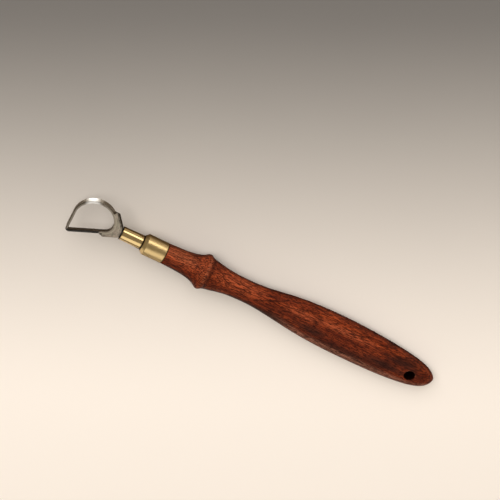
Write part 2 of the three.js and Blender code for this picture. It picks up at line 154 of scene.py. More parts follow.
# Places on the metal where its finish changes, and where a highlight, dark reflection or shade is
# painted
CROWN_TURN = math.radians(118)
CROWN_REACH = (5.6 * MM, 4.2 * MM, 6 * MM)
BY_YOKE_REACH = (9.5 * MM, 13 * MM, 0.5 * MM)
STRIP_FACE_FROM = STRIP_BELOW_ARCH - 2.2 * MM
STRIP_FACE_TO = STRIP_BELOW_ARCH - 0.9 * MM
STRIP_CLEAR_FROM = 1 * MM
STRIP_CLEAR_TO = 3 * MM
# Painted shade along the long arm's outer side
ARM_SIDE_SHADE_FROM = -1.15 * MM
ARM_SIDE_SHADE_TO = -0.6 * MM
# Painted shadow at the short arm's end by the strip
SEAT_END_SHADOW_REACH = (3.4 * MM, 1.4 * MM, 1 * MM)
UNROLLED_RADIUS = 6 * MM
TARNISH_REACH = 0.9 * MM
JOINT_LINE_FROM = 0.1 * MM
JOINT_LINE_TO = 0.4 * MM

# Tints: how much of a colour's red, green and blue is left
# Painted dark reflection on the loop's front rim and on its strip
RIM_DARK_REFLECTION_TINT = (0.27, 0.25, 0.22)
STRIP_DARK_REFLECTION_TINT = (0.36, 0.31, 0.28)
GREENISH_TINT = (0.88, 0.93, 0.9)
PINKISH_TINT = (1.12, 1.04, 1.06)
TARNISH_TINT = (0.45, 0.36, 0.28)
BRIGHT_AND_HIGHLIGHT_TINT = (1.35, 1.6, 2.2)
SMOKE_AND_SHADE_TINT = (2.1, 2.9, 3.2)
SHEEN_TINT = (1.2, 1.85, 2.9)
CREST_HIGHLIGHT_TINT = (1.2, 2.1, 3.8)
LOWER_EDGE_REFLECTION_TINT = (1.1, 2.5, 6)

# Wood figure, with painted shade, highlight and sheen, in millimetres: the pith's place and slope under
# the handle, then patches of (place along, place across, reach along, reach across) and lines from one
# place to another
PITH_ASIDE = 1.5
PITH_BELOW = 26
PITH_SLOPE = -0.03
RINGS_PER_MM = 0.6
RING_DRIFT = 5.0
RING_WANDER = 0.8
LATE_WOOD_FROM = 0.45
LATE_WOOD_TO = 0.9
PATCH_DEPTH = 14
# Dark figure, partly painted shade on the lower, downward-facing side
DARK_FIGURE_AND_SHADE = (
    (93, -1.4, 16, 4.6),
    (142, -1.6, 24, 4.8),
    (70, -5, 26, 5.5),
    (118, -7, 46, 7.5),
    (152, 5, 18, 5),
    (44, -6, 20, 3),
    (57, -5.2, 26, 5),
    (12, -5, 14, 4),
)
# Bright figure, partly a painted highlight on the upper, lit side
BRIGHT_FIGURE_AND_HIGHLIGHT = ((42, 4.2, 28, 5), (112, 7, 34, 3.6), (84, 5.5, 20, 4), (8, 3, 16, 5), (23, 7, 7, 5))
# Painted sheen on the flare, collar and waist
SHEEN_PATCHES = ((9, 4.8, 17, 3.6), (23, 2, 6, 6), (36, -3, 16, 1.2))
DARK_LINES = ((59.1, 2.8, 71, 7.4), (110.8, 6.5, 125.3, 10), (137.7, 10.6, 149.8, 11))
LINE_SPREAD = 0.75
LINE_HALF = 0.8
# How far the painted shade fades out past the hole's mouth
HOLE_SHADE_FADE = 0.35 * MM
LINE_AT_COLLAR = 0.2 * MM
# Reach of the painted highlight on the collar's crest and of the painted shade in its crease
CREST_HIGHLIGHT_REACH = 1.1 * MM
CREASE_SHADE_REACH = 1.3 * MM
# Where the painted reflection on the paddle's lower edge comes in
LOWER_EDGE_FROM = 60 * MM
LOWER_EDGE_TO = 95 * MM

# Where a spot starts to fade, and the shares between which roughness changes
SPOT_CORE = 0.35
SHEEN_FROM = 0.3
SHEEN_TO = 0.7

# Floor: distances away from the camera at which it is palest and greyest; the greying is a painted
# light falloff
FLOOR_REACH = 30
FLOOR_AWAY = (-0.5, 0.866)
FLOOR_PALE_TO = -123 * MM
FLOOR_GREY_FROM = 191 * MM
FLOOR_CLOUDING = 6 * MM
FLOOR_GREYEST = 0.92
FLOOR_LEVELLING = 0.06
FLOOR_ROUGHNESS = 0.85

# Cards on the floor that only metal and gloss mirror: finish, its two colours and its glow, then
# card, its finish, its low and high corner from the tool's joint and its height over the floor,
# both in millimetres
CARD_FINISHES = (
    ("dark_card", (0.12, 0.10, 0.08), (0.22, 0.185, 0.145), 0.0),
    ("umber_card", (0.07, 0.05, 0.03), (0.12, 0.085, 0.05), 0.0),
    ("grey_card", (0.46, 0.42, 0.37), (0.54, 0.5, 0.45), 0.0),
    ("white_card", (0.94, 0.92, 0.89), (0.97, 0.96, 0.94), 1.1),
)
CARDS = (
    ("loop_card", "dark_card", (-75, -18), (-26, 60), 0.3),
    ("neck_card", "umber_card", (-26, -5), (-13, 18), 0.3),
    ("ferrule_card", "umber_card", (-13, -60), (12, 24), 0.35),
    ("handle_card", "dark_card", (2, -5), (185, 19), 0.3),
    ("crown_edge_card", "grey_card", (-60, 6), (-41, 25), 0.35),
    ("crown_card", "white_card", (-57, 10), (-47.5, 22), 0.4),
)

# Lamps: direction from the tool, distance, size, brightness and tint. The key lights colours, the
# soft boxes show only in metal and gloss, and the room's even light comes from all sides.
WARM_WHITE = (1.0, 0.985, 0.96)
WHITE = (1.0, 0.99, 0.97)
KEY_LIGHT = ((-0.45, 0.5, 0.74), 2.5, (2.6, 2.6), 4.0, WARM_WHITE)
SOFTBOXES = (
    ("back_softbox", (0.12, 0.94, 0.27), 2.0, (1.55, 0.82), 2.6, WARM_WHITE),
    ("rim_softbox", (-0.56, 0.66, 0.5), 1.5, (0.6, 0.6), 1.6, WHITE),
    ("side_softbox", (-0.62, -0.77, 0.12), 1.5, (0.9, 0.5), 0.9, WHITE),
    ("front_softbox", (0.25, -0.45, 0.85), 2.0, (2.2, 1.7), 1.0, WHITE),
)
ROOM_LIGHT = (0.30, 0.275, 0.235)

# Camera at the photo's viewing angle, in the tool's frame
CAMERA_PLACE = Vector((-105.69, 278.03, 450.85)) * MM
CAMERA_RIGHT = Vector((0.86612, 0.49983, -0.00325))
CAMERA_UP = Vector((-0.42123, 0.72639, -0.54306))
CAMERA_BACK = Vector((-0.26908, 0.47172, 0.83969))
CAMERA_LENS = 72
CAMERA_SENSOR = 36
CAMERA_CLIP = 0.01


def length(label, millimetres, description):
    """A size that a user can change, kept in metres."""
    return bpy.props.FloatProperty(
        name=label,
        description=description,
        default=millimetres * MM,
        min=0.0,
        precision=5,
        unit="LENGTH",
    )


def colour(label, value, description):
    """A colour that a user can change."""
    return bpy.props.FloatVectorProperty(
        name=label,
        description=description,
        default=value,
        size=3,
        min=0.0,
        max=1.0,
        subtype="COLOR",
    )


class LoopSizes(bpy.types.PropertyGroup):
    """Sizes of the cutting loop and its yoke."""

    band_width: length("Band width", 3.6, "Width of the strip from its ground edge to its front rim")
    band_thickness: length("Band thickness", 1.3, "Thickness of the strip")
    arch_radius: length("Arch radius", 11.05, "Radius of the round arch at the strip's middle")
    heel_radius: length("Heel radius", 5.95, "Radius of the bend that lies in the yoke")
    toe_radius: length("Toe radius", 1.2, "Radius of the sharp bend at the toe")
    rim_radius: length("Rim radius", 0.5, "Rounding of the strip's front rim")
    arm_width: length("Arm width", 2.1, "Width of the yoke's long arm outside the strip")
    braze_film: length("Braze film", 0.3, "Thickness of the braze between strip and yoke")


class BrassSizes(bpy.types.PropertyGroup):
    """Sizes of the turned brass."""

    neck_length: length("Neck length", 12, "Length of the brass neck")
    neck_front_radius: length("Neck front radius", 3.7, "Radius of the neck at the yoke")
    neck_back_radius: length("Neck back radius", 3.95, "Radius of the neck at the ferrule")
    ferrule_length: length("Ferrule length", 13.5, "Length of the ferrule")
    ferrule_radius: length("Ferrule radius", 5.9, "Outer radius of the ferrule")
    ferrule_chamfer: length("Ferrule chamfer", 1.85, "Depth of the ferrule's front chamfer")


class HandleSizes(bpy.types.PropertyGroup):
    """Sizes of the wooden handle."""

    handle_length: length("Handle length", 176.2, "Length of the wood that shows")
    collar_radius: length("Collar radius", 10.3, "Radius of the collar's rim")
    waist_upper: length("Upper waist", 6.75, "Half width of the waist on the arch side")
    waist_lower: length("Lower waist", 5.95, "Half width of the waist on the strip side")
    waist_half: length("Waist half thickness", 6.3, "Half thickness of the waist")
    paddle_upper: length("Upper paddle", 12.15, "Half width of the paddle on the arch side")
    paddle_lower: length("Lower paddle", 12, "Half width of the paddle on the strip side")
    paddle_crown: length("Paddle crown", 6, "Half thickness of the paddle before its flats are sanded")
    flat_half: length("Flat half thickness", 5.4, "Half thickness of the paddle between its flats")
    hole_radius: length("Hole radius", 3.2, "Radius of the hanging hole")


class ToolColours(bpy.types.PropertyGroup):
    """Colours of the finishes and the floor."""

    loop_steel: colour("Loop steel", (0.60, 0.55, 0.49), "Polished spring steel of the loop")
    # painted_crown_highlight: the colour of the painted highlight on the arch's crown
    painted_crown_highlight: colour("Burnished crown", (0.98, 0.96, 0.93), "Bright wear at the top of the arch")
    yoke_steel: colour("Yoke steel", (0.32, 0.273, 0.215), "Satin steel of the yoke")
    brass: colour("Brass", (0.735, 0.53, 0.25), "Turned brass")
    braze: colour("Braze", (0.40, 0.35, 0.27), "Dressed silver braze")
    wood_light: colour("Light grain", (0.37, 0.062, 0.0155), "Bright red-brown of the wood")
    wood_mid: colour("Middle grain", (0.13, 0.0165, 0.004), "Middle tone of the wood")
    wood_dark: colour("Dark grain", (0.015, 0.0035, 0.002), "Dark lines and pores of the wood")
    # The far floor's grey is a painted light falloff
    floor_near: colour("Near floor", (0.98, 0.892, 0.813), "Floor in front of the tool")
    floor_far: colour("Far floor", (0.095, 0.09, 0.086), "Floor behind the tool")


class ToolSettings(bpy.types.PropertyGroup):
    """All that a user can change on the loop tool."""

    loop: bpy.props.PointerProperty(type=LoopSizes, name="Loop", description="Loop and yoke")
    brass: bpy.props.PointerProperty(type=BrassSizes, name="Brass", description="Neck and ferrule")
    handle: bpy.props.PointerProperty(type=HandleSizes, name="Handle", description="Wooden handle")
    colours: bpy.props.PointerProperty(type=ToolColours, name="Colours", description="Finishes")


def settings():
    """The user's sizes and colours."""
    return bpy.context.scene.loop_tool


# Placing and meshes


def hole_centre():
    """The middle of the hanging hole."""
    return (settings().handle.handle_length - HOLE_FROM_TIP, HOLE_OFFSET, 0.0)


def tool_frame():
    """The tool's own frame in the row frame, found from the flat on the paddle's front."""
    mounts = {mount["name"]: mount for mount in frame["record"]["mounts"]}
    flat = mounts["paddle_front_flat"]
    tilt = Matrix.Rotation(math.atan2(flat["axis"][0], flat["axis"][2]), 4, "Y")
    on_flat = Vector((FLAT_MOUNT_AT, 0.0, settings().handle.flat_half))
    return Matrix.Translation(Vector(flat["pos_m"]) - tilt @ on_flat) @ tilt


def grid_faces(rows, sides, closed):
    """Four-sided faces between rings of points, and from the last ring to the first if closed."""
    faces = []
    for row in range(rows if closed else rows - 1):
        here = row * sides
        there = ((row + 1) % rows) * sides
        for side in range(sides):
            after = (side + 1) % sides
            faces.append((here + side, here + after, there + after, there + side))
    return faces


def lofted(rows):
    """Points and faces of a solid through rings of points, with a flat cap at each end."""
    sides = len(rows[0])
    last = (len(rows) - 1) * sides
    caps = [tuple(range(sides)), tuple(range(last, last + sides))]
    return np.vstack(rows), grid_faces(len(rows), sides, closed=False) + caps


def rings(profile, sides):
    """Rings of points from a profile of (place, radius) pairs turned about the tool's axis."""
    turns = 2 * math.pi * np.arange(sides) / sides
    return [
        np.column_stack([np.full(sides, place), radius * np.cos(turns), radius * np.sin(turns)])
        for place, radius in profile
    ]


def mesh_from(name, points, faces, along=None, across=None):
    """A mesh with its faces outward, shaded smooth but for its sharp edges."""
    shape = bmesh.new()
    corners = [shape.verts.new(point) for point in points]
    made = [shape.faces.new([corners[index] for index in face]) for face in faces]
    if along is not None:
        lay_out(shape, made, along, across)
    bmesh.ops.recalc_face_normals(shape, faces=shape.faces)
    mesh = bpy.data.meshes.new(name)
    shape.to_mesh(mesh)
    shape.free()
    return smooth(mesh)


def lay_out(shape, faces, along, across):
    """Write real lengths along a sweep and round its section into a UV map."""
    layer = shape.loops.layers.uv.new("sweep")
    sides = len(across) - 1
    for index, face in enumerate(faces[: (len(along) - 1) * sides]):
        row, side = divmod(index, sides)
        rows = (row, row, row + 1, row + 1)
        columns = (side, side + 1, side + 1, side)
        for loop, u, v in zip(face.loops, rows, columns):
            loop[layer].uv = (along[u], across[v])


def smooth(mesh):
    """Shade a mesh smooth, with its edges kept sharp."""
    mesh.polygons.foreach_set("use_smooth", [True] * len(mesh.polygons))
    mesh.set_sharp_from_angle(angle=SHARP_ANGLE)
    return mesh


def placed(name, data):
    """A new object in the scene."""
    thing = bpy.data.objects.new(name, data)
    bpy.context.scene.collection.objects.link(thing)
    return thing


def dress(thing, finish):
    """Give an object one finish all over."""
    thing.data.materials.clear()
    thing.data.materials.append(finish)


def make_piece(name, mesh, finish, slot, *nodes):
    """Put a fine piece in place of its CAD nodes."""
    mesh.transform(tool_frame())
    piece = placed(name, mesh)
    dress(piece, finish)
    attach(piece, "root")
    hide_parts(*nodes)


def cut_away(mesh, cutter_mesh):
    """One mesh with another cut out of it."""
    body = placed("body", mesh)
    cutter = placed("cutter", cutter_mesh)
    cut = body.modifiers.new("cut", "BOOLEAN")
    cut.operation = "DIFFERENCE"
    cut.solver = "EXACT"
    cut.object = cutter
    bpy.context.view_layer.update()
    evaluated = body.evaluated_get(bpy.context.evaluated_depsgraph_get())
    result = bpy.data.meshes.new_from_object(evaluated)
    for part in (body, cutter):
        bpy.data.objects.remove(part)
    return smooth(result)


# Flat outlines


def towards(turn):
    """The flat direction at an angle."""
    return np.array([math.cos(turn), math.sin(turn)])


def turn_of(direction):
    """The angle of a flat direction."""
    return math.atan2(direction[1], direction[0])


def arc(centre, radius, start, end, steps):
    """Points on an arc, and the direction out of its centre at each."""
    turns = np.linspace(start, end, steps + 1)
    out = np.column_stack([np.cos(turns), np.sin(turns)])
    return centre + radius * out, out


def straight(start, end, out, steps):
    """Points inside a straight stretch, which share one outward direction."""
    shares = np.linspace(0, 1, steps + 2)[1:-1, None]
    return start + shares * (end - start), np.repeat(out[None, :], steps, axis=0)


def quadratic(start, pull, end, steps):
    """Points on a curve that leaves start and reaches end along lines through pull."""
    t = np.linspace(0, 1, steps + 1)[:, None]
    return (1 - t) ** 2 * start + 2 * t * (1 - t) * pull + t**2 * end


def rounding(radius, steps, start=0.0, end=math.pi / 2):
    """Moves (inward, down) that round an edge off, from its side to its top."""
    turns = np.linspace(start, end, steps + 1)
    return [(radius * (1 - math.cos(turn)), radius * (1 - math.sin(turn))) for turn in turns]


def joined(*stretches):
    """Stretches of (points, outward directions) as one."""
    return tuple(np.vstack(parts) for parts in zip(*stretches))


def unit(vectors):
    """Flat vectors at length one."""
    return vectors / np.linalg.norm(vectors, axis=1, keepdims=True)


def drawn_in(outline, shares, amount):
    """A closed outline with each corner moved inward by its share of an amount."""
    onward = np.roll(outline, -1, axis=0)
    before = unit(outline - np.roll(outline, 1, axis=0))
    after = unit(onward - outline)
    area = np.sum(outline[:, 0] * onward[:, 1] - outline[:, 1] * onward[:, 0])
    inward = math.copysign(1.0, area)
    normals = [np.column_stack([-edge[:, 1], edge[:, 0]]) * inward for edge in (before, after)]
    facing = np.sum(normals[0] * normals[1], axis=1, keepdims=True)
    miter = (normals[0] + normals[1]) / (1 + np.clip(facing, MITER_LIMIT, 1))
    return outline + miter * shares[:, None] * amount


def eased(corners, ease):
    """A closed profile with each corner rounded off by a small curve."""
    corners = np.asarray(corners, float)
    rounded = []
    for index, corner in enumerate(corners):
        ends = []
        for other in (corners[index - 1], corners[(index + 1) % len(corners)]):
            arm = other - corner
            size = np.linalg.norm(arm)
            ends.append(corner + arm * min(ease, size / 3) / size)
        rounded.extend(quadratic(ends[0], corner, ends[1], EASE_STEPS))
    return rounded


class BandPath:
    """The middle line of the loop's strip: arch, straight side, toe, strip and heel."""

    def __init__(self):
        loop = settings().loop
        brass = settings().brass
        self.face = loop.band_thickness / 2
        self.front = loop.band_width / 2
        self.neck_front = -brass.ferrule_length - SEAT_GAP - brass.neck_length
        self.yoke_back = self.neck_front - SEAT_GAP
        self.arch_radius = loop.arch_radius
        self.heel_radius = loop.heel_radius
        self.toe_radius = loop.toe_radius
        self.strip_turn = STRIP_ANGLE - math.pi / 2
        self.side_turn = math.pi + SIDE_LEAN
        between = self.arch_radius - self.heel_radius
        self.heel_turn = self.strip_turn + math.acos((STRIP_BELOW_ARCH - self.heel_radius) / between)
        arch_x = self.neck_front - BAND_AHEAD_OF_NECK - self.arch_radius
        self.arch_centre = np.array([arch_x, ARCH_OFFSET])
        self.heel_centre = self.arch_centre + between * towards(self.heel_turn)
        self.toe_centre = self.find_toe()
        self.arm_root = self.on_arch(UPPER_ARM_ANGLE)

    def on_arch(self, turn):
        """The point of the arch at an angle."""
        return self.arch_centre + self.arch_radius * towards(turn)

    def find_toe(self):
        """The toe bend's centre lies one bend radius inside both the side and the strip."""
        from_side = self.arch_radius - self.toe_radius
        from_strip = STRIP_BELOW_ARCH - self.toe_radius
        side = towards(self.side_turn)
        strip = towards(self.strip_turn)
        spread = math.sin(self.strip_turn - self.side_turn)
        x = (from_side * strip[1] - from_strip * side[1]) / spread
        y = (from_strip * side[0] - from_side * strip[0]) / spread
        return self.arch_centre + np.array([x, y])

    def bends(self, arch_from, arch_to, heel_from, heel_to, arch_steps, heel_steps):
        """A stretch of the arch and one of the heel."""
        arch = arc(self.arch_centre, self.arch_radius, arch_from, arch_to, arch_steps)
        return arch, arc(self.heel_centre, self.heel_radius, heel_from, heel_to, heel_steps)

    def trimmed(self, trim):
        """The angles on arch and heel at which each stops short of their meeting point."""
        return self.heel_turn + trim / self.arch_radius, self.heel_turn - trim / self.heel_radius

    def whole(self, end_trim):
        """The strip's middle line with a length left out at each end."""
        start, end = self.trimmed(end_trim)
        arch, heel = self.bends(start, self.side_turn, self.strip_turn, end, ARCH_STEPS, HEEL_STEPS)
        toe_end = 2 * math.pi + self.strip_turn
        toe = arc(self.toe_centre, self.toe_radius, self.side_turn, toe_end, TOE_STEPS)
        side = straight(arch[0][-1], toe[0][0], towards(self.side_turn), STRAIGHT_STEPS)
        strip = straight(toe[0][-1], heel[0][0], towards(self.strip_turn), STRAIGHT_STEPS)
        return joined(arch, side, toe, strip, heel)

    def seat(self, arm_turn, reach):
        """The part of the line that lies in the yoke, from the long arm to the short one."""
        meeting, out = self.heel_turn, towards(self.strip_turn)
        arch, heel = self.bends(arm_turn, meeting, meeting, self.strip_turn, HEEL_STEPS, HEEL_STEPS)
        end = heel[0][-1] - reach * towards(STRIP_ANGLE)
        stretch = straight(heel[0][-1], end, out, STRAIGHT_STEPS)
        onward = (heel[0][1:], heel[1][1:])
        return joined(arch, onward, stretch, (end[None, :], out[None, :]))

    def butt(self, half):
        """The short line between the strip's two ends."""
        start, end = self.trimmed(half)
        arch, heel = self.bends(start, self.heel_turn, self.heel_turn, end, 1, 1)
        return joined([part[:1] for part in arch], heel)

    def beside_strip(self, reach, offset):
        """A point outside the strip, at a distance from the heel toward the toe."""
        across = (self.heel_radius + offset) * towards(self.strip_turn)
        return self.heel_centre + across - reach * towards(STRIP_ANGLE)

    def off_strip(self, points):
        """How far points lie outside the strip's middle line."""
        return (points - self.heel_centre) @ towards(self.strip_turn) - self.heel_radius


def band_section(path):
    """The strip's section, from its cutting edge round the outer face, rim and inner face."""
    rim = settings().loop.rim_radius
    rounded = rounding(rim, RIM_STEPS)
    outer = [(path.face - inward, path.front - down) for inward, down in rounded]
    inner = [(inward * RIM_EASE / rim - path.face, path.front - down) for inward, down in rounded[::-1]]
    edge = [(path.face - EDGE_THICKNESS, -path.front), (path.face, -path.front)]
    return np.array(edge + outer + inner + [(-path.face, BEVEL_HEIGHT - path.front)])


def rim_reach(path):
    """Where the rounded front rim lies round the strip's section, from its cutting edge."""
    around = np.cumsum(np.linalg.norm(np.diff(band_section(path), axis=0), axis=1))
    return float(around[1]), float(around[2 * (RIM_STEPS + 1)])


def swept(name, stations, section):
    """A solid swept along flat stations, from a section of (offset outward, height) points."""
    points, out = stations
    rows = [
        np.column_stack([point + section[:, :1] * side, section[:, 1]])
        for point, side in zip(points, out)
    ]
    around = np.vstack([section, section[:1]])
    along, across = (
        np.concatenate([[0], np.cumsum(np.linalg.norm(np.diff(line, axis=0), axis=1))])
        for line in (points, around)
    )
    return mesh_from(name, *lofted(rows), along, across)


# Finishes


def toned(shade, *factors):
    """A colour times one factor, or times one each for red, green and blue, at most white."""
    return tuple(min(1.0, part * factor) for part, factor in zip(shade, factors * (3 // len(factors))))


class Finish:
    """A material built up in coats, with short calls for the nodes that the finishes share."""

    def __init__(self, name, **sockets):
        self.material = bpy.data.materials.new(name)
        self.material.use_nodes = True
        self.tree = self.material.node_tree
        self.shader = self.tree.nodes["Principled BSDF"]
        for socket, value in sockets.items():
            self.shader.inputs[socket.replace("_", " ")].default_value = value
        self.place = self.tool_place()
        self.colour = self.rough = self.normal = None

    def tool_place(self):
        """The shaded point in the tool's own frame."""
        turned = self.add("ShaderNodeMapping", vector_type="TEXTURE")
        self.feed(turned.inputs["Vector"], self.add("ShaderNodeTexCoord").outputs["Object"])
        turned.inputs["Location"].default_value = tool_frame().translation
        turned.inputs["Rotation"].default_value = tool_frame().to_euler()
        return turned.outputs["Vector"]

    def add(self, kind, **options):
        """A new node with its options set."""
        node = self.tree.nodes.new(kind)
        for option, value in options.items():
            setattr(node, option, value)
        return node

    def feed(self, socket, value):
        """Link a socket to another, or set its value."""
        if isinstance(value, bpy.types.NodeSocket):
            self.tree.links.new(value, socket)
        elif hasattr(value, "__len__") and len(value) == 3 and socket.type == "RGBA":
            socket.default_value = (*value, 1.0)
        else:
            socket.default_value = value

    def fed(self, kind, *values, **options):
        """A new node with its options set and its first sockets fed."""
        node = self.add(kind, **options)
        for socket, value in zip(node.inputs, values):
            self.feed(socket, value)
        return node

    def calculate(self, operation, first, second=0.0, third=0.0):
        """A sum, product or other operation on numbers."""
        return self.fed("ShaderNodeMath", first, second, third, operation=operation).outputs[0]

    def times(self, first, second):
        """A product."""
        return self.calculate("MULTIPLY", first, second)

    def away_from(self, value, middle):
        """How far a value is from another."""
        return self.calculate("ABSOLUTE", self.calculate("SUBTRACT", value, middle))

    def extreme(self, operation, values):
        """The greatest or least of several values at each point."""
        total, *others = values
        for value in others:
            total = self.calculate(operation, total, value)
        return total

    def vector(self, operation, first, second=(0, 0, 0)):
        """An operation on vectors."""
        node = self.fed("ShaderNodeVectorMath", first, second, operation=operation)
        return node.outputs["Value" if operation in ("LENGTH", "DOT_PRODUCT") else "Vector"]

    def stretched(self, place, per_mm):
        """A place in millimetres, scaled along each axis or alike along all."""
        scales = np.broadcast_to(per_mm, 3) / MM
        return self.vector("MULTIPLY", place, tuple(float(scale) for scale in scales))

    def parts(self, place):
        """The x, y and z of a place."""
        return self.fed("ShaderNodeSeparateXYZ", place).outputs

    def facing(self):
        """The x, y and z of the surface's outward direction."""
        return self.parts(self.add("ShaderNodeNewGeometry").outputs["Normal"])

    def flat_place(self, first, second):
        """A place made of two coordinates."""
        return self.fed("ShaderNodeCombineXYZ", first, second).outputs[0]

    def along(self, start, direction):
        """How far the shaded point lies from a flat start in a flat direction."""
        away = self.vector("SUBTRACT", self.place, (*start, 0.0))
        return self.vector("DOT_PRODUCT", away, (*direction, 0.0))

    def noise(self, per_mm, detail=3.0, roughness=0.5, distortion=0.0, place=None):
        """Soft random variation between 0 and 1, of a fineness along each axis."""
        node = self.fed("ShaderNodeTexNoise", self.stretched(place or self.place, per_mm))
        levels = {"Scale": 1.0, "Detail": detail, "Roughness": roughness, "Distortion": distortion}
        for socket, value in levels.items():
            node.inputs[socket].default_value = value
        return node.outputs["Fac"]

    def between(self, value, low, high, to_low=0.0, to_high=1.0):
        """A value brought smoothly from one range to another and held there."""
        values = (value, low, high, to_low, to_high)
        return self.fed("ShaderNodeMapRange", *values, interpolation_type="SMOOTHSTEP").outputs[0]

    def fading(self, value, low, high):
        """1 up to the low value and 0 from the high one."""
        return self.between(value, low, high, 1.0, 0.0)

    def spot(self, centre, reach, place=None):
        """A soft spot that is 1 at its centre and 0 beyond its reach along each axis."""
        away = self.vector("SUBTRACT", place or self.place, tuple(centre))
        away = self.vector("DIVIDE", away, tuple(reach))
        return self.fading(self.vector("LENGTH", away), SPOT_CORE, 1.0)

    def blend(self, share, first, second):
        """Two colours blended by a share."""
        node = self.add("ShaderNodeMix", data_type="RGBA")
        node.clamp_factor = True
        for socket, value in ((0, share), (6, first), (7, second)):
            self.feed(node.inputs[socket], value)
        return node.outputs[2]

    def ground(self, share, first, second):
        """The first coat: two colours blended by a share."""
        self.colour = self.blend(share, first, second)

    def coat(self, share, shade, strength=1.0):
        """A colour over the coats below, where its share is."""
        self.colour = self.blend(self.times(share, strength), self.colour, shade)

    def sheen(self, share, low, high):
        """Roughness between two values."""
        self.rough = self.between(share, SHEEN_FROM, SHEEN_TO, low, high)

    def roughen(self, share, amount):
        """More roughness where a share is."""
        self.rough = self.calculate("MULTIPLY_ADD", share, amount, self.rough)

    def emboss(self, height, depth, strength=0.6):
        """Fine relief of a real depth, over the relief below."""
        node = self.add("ShaderNodeBump")
        self.feed(node.inputs["Height"], height)
        node.inputs["Strength"].default_value = strength
        node.inputs["Distance"].default_value = depth
        if self.normal is not None:
            self.feed(node.inputs["Normal"], self.normal)
        self.normal = node.outputs["Normal"]

    def done(self):
        """Feed the shader and give the material back."""
        results = {"Base Color": self.colour, "Roughness": self.rough, "Normal": self.normal}
        for socket, value in results.items():
            self.feed(self.shader.inputs[socket], value)
        return self.material


def polished_steel(path):
    """Polished strip: scratches along it, smears, satin by the yoke, painted dark reflection on the rim
    and strip, and a painted highlight on the crown.
    """
    steel = Finish("polished_loop_steel", Metallic=1.0)
    colours = settings().colours
    shade = colours.loop_steel
    sweep = steel.add("ShaderNodeUVMap", uv_map="sweep").outputs["UV"]
    across = steel.parts(sweep)[1]
    scratches = steel.noise((0.18, 9.0, 1.0), detail=4, roughness=0.65, place=sweep)
    hairlines = steel.noise((0.5, 22.0, 1.0), roughness=0.6, place=sweep)
    smears = steel.noise((0.35, 0.35, 0.5))
    # Spot on the arch's crown where a highlight is painted
    crown = steel.spot((*path.on_arch(CROWN_TURN), 0.0), CROWN_REACH)
    rim_from, rim_to = rim_reach(path)
    rim = steel.times(
        steel.between(across, rim_from - RIM_EASE, rim_from + RIM_EASE),
        steel.fading(across, rim_to - RIM_EASE, rim_to + RIM_EASE),
    )
    below_arch = steel.along(path.arch_centre, towards(path.strip_turn))
    toward_toe = steel.along(path.heel_centre, -towards(STRIP_ANGLE))
    strip = steel.between(below_arch, STRIP_FACE_FROM, STRIP_FACE_TO)
    clear = steel.times(strip, steel.between(toward_toe, STRIP_CLEAR_FROM, STRIP_CLEAR_TO))
    by_yoke = steel.spot((*path.heel_centre, path.front), BY_YOKE_REACH)
    by_yoke = steel.times(by_yoke, steel.calculate("SUBTRACT", 1.0, clear))
    steel.ground(smears, toned(shade, 0.86), toned(shade, 1.06))
    # Painted dark reflection: on the front rim, over the strip, and nearly black on the strip's rim
    # away from the yoke
    steel.coat(rim, toned(shade, *RIM_DARK_REFLECTION_TINT))
    steel.coat(strip, toned(shade, *STRIP_DARK_REFLECTION_TINT))
    steel.coat(steel.times(clear, rim), toned(shade, 0.04))
    steel.coat(steel.between(scratches, 0.5, 0.7), toned(shade, 0.6), strength=0.35)
    # Painted highlight on the crown
    steel.coat(crown, tuple(colours.painted_crown_highlight))
    steel.coat(by_yoke, tuple(colours.yoke_steel))
    steel.sheen(smears, 0.2, 0.28)
    steel.roughen(steel.between(hairlines, 0.45, 0.75), 0.08)
    steel.roughen(by_yoke, 0.26)
    steel.roughen(crown, 0.16)
    steel.roughen(steel.times(crown, rim), 0.2)
    steel.emboss(scratches, 0.004 * MM)
    steel.emboss(hairlines, 0.0015 * MM)
    return steel.done()


def satin_steel(path):
    """Filed yoke: a matte warm grey with soft mottling, brushed lines and small pits, its sides
    darkened by painted shade.
    """
    steel = Finish("satin_yoke_steel", Metallic=1.0)
    shade = settings().colours.yoke_steel
    mottle = steel.noise((0.9, 0.6, 0.7), detail=5, roughness=0.7)
    tint = steel.noise((0.3, 0.3, 0.4), detail=2, distortion=0.4)
    filed = steel.noise((2.6, 0.5, 2.6), detail=4, roughness=0.7)
    grit = steel.noise(2.4, detail=5, roughness=0.75)
    upright = steel.calculate("ABSOLUTE", steel.facing()[2])
    outer_top, shoulder = arm_side_ends(path)
    from_side = steel.along(shoulder, towards(turn_of(outer_top - shoulder) - math.pi / 2))
    seat_end_shadow = path.beside_strip(LOWER_ARM_CORNER, path.face + LOWER_ARM_WIDTH / 5)
    steel.ground(
        steel.between(tint, 0.38, 0.62), toned(shade, *GREENISH_TINT), toned(shade, *PINKISH_TINT)
    )
    # Painted shade on the sideways-facing edges and the long arm's outer side, and a painted shadow at
    # the short arm's end
    for share, tone, strength in (
        (steel.fading(upright, 0.25, 0.6), 0.18, 0.9),
        (steel.between(from_side, ARM_SIDE_SHADE_FROM, ARM_SIDE_SHADE_TO), 0.08, 0.92),
        (steel.spot((*seat_end_shadow, path.front), SEAT_END_SHADOW_REACH), 0.3, 0.75),
        (steel.between(mottle, 0.42, 0.6), 0.66, 0.7),
        (steel.between(filed, 0.5, 0.66), 1.35, 0.55),
        (steel.between(grit, 0.54, 0.64), 0.5, 0.6),
    ):
        steel.coat(share, toned(shade, tone), strength)
    steel.sheen(mottle, 0.36, 0.52)
    steel.emboss(filed, 0.02 * MM)
    steel.emboss(grit, 0.02 * MM, strength=0.7)
    return steel.done()


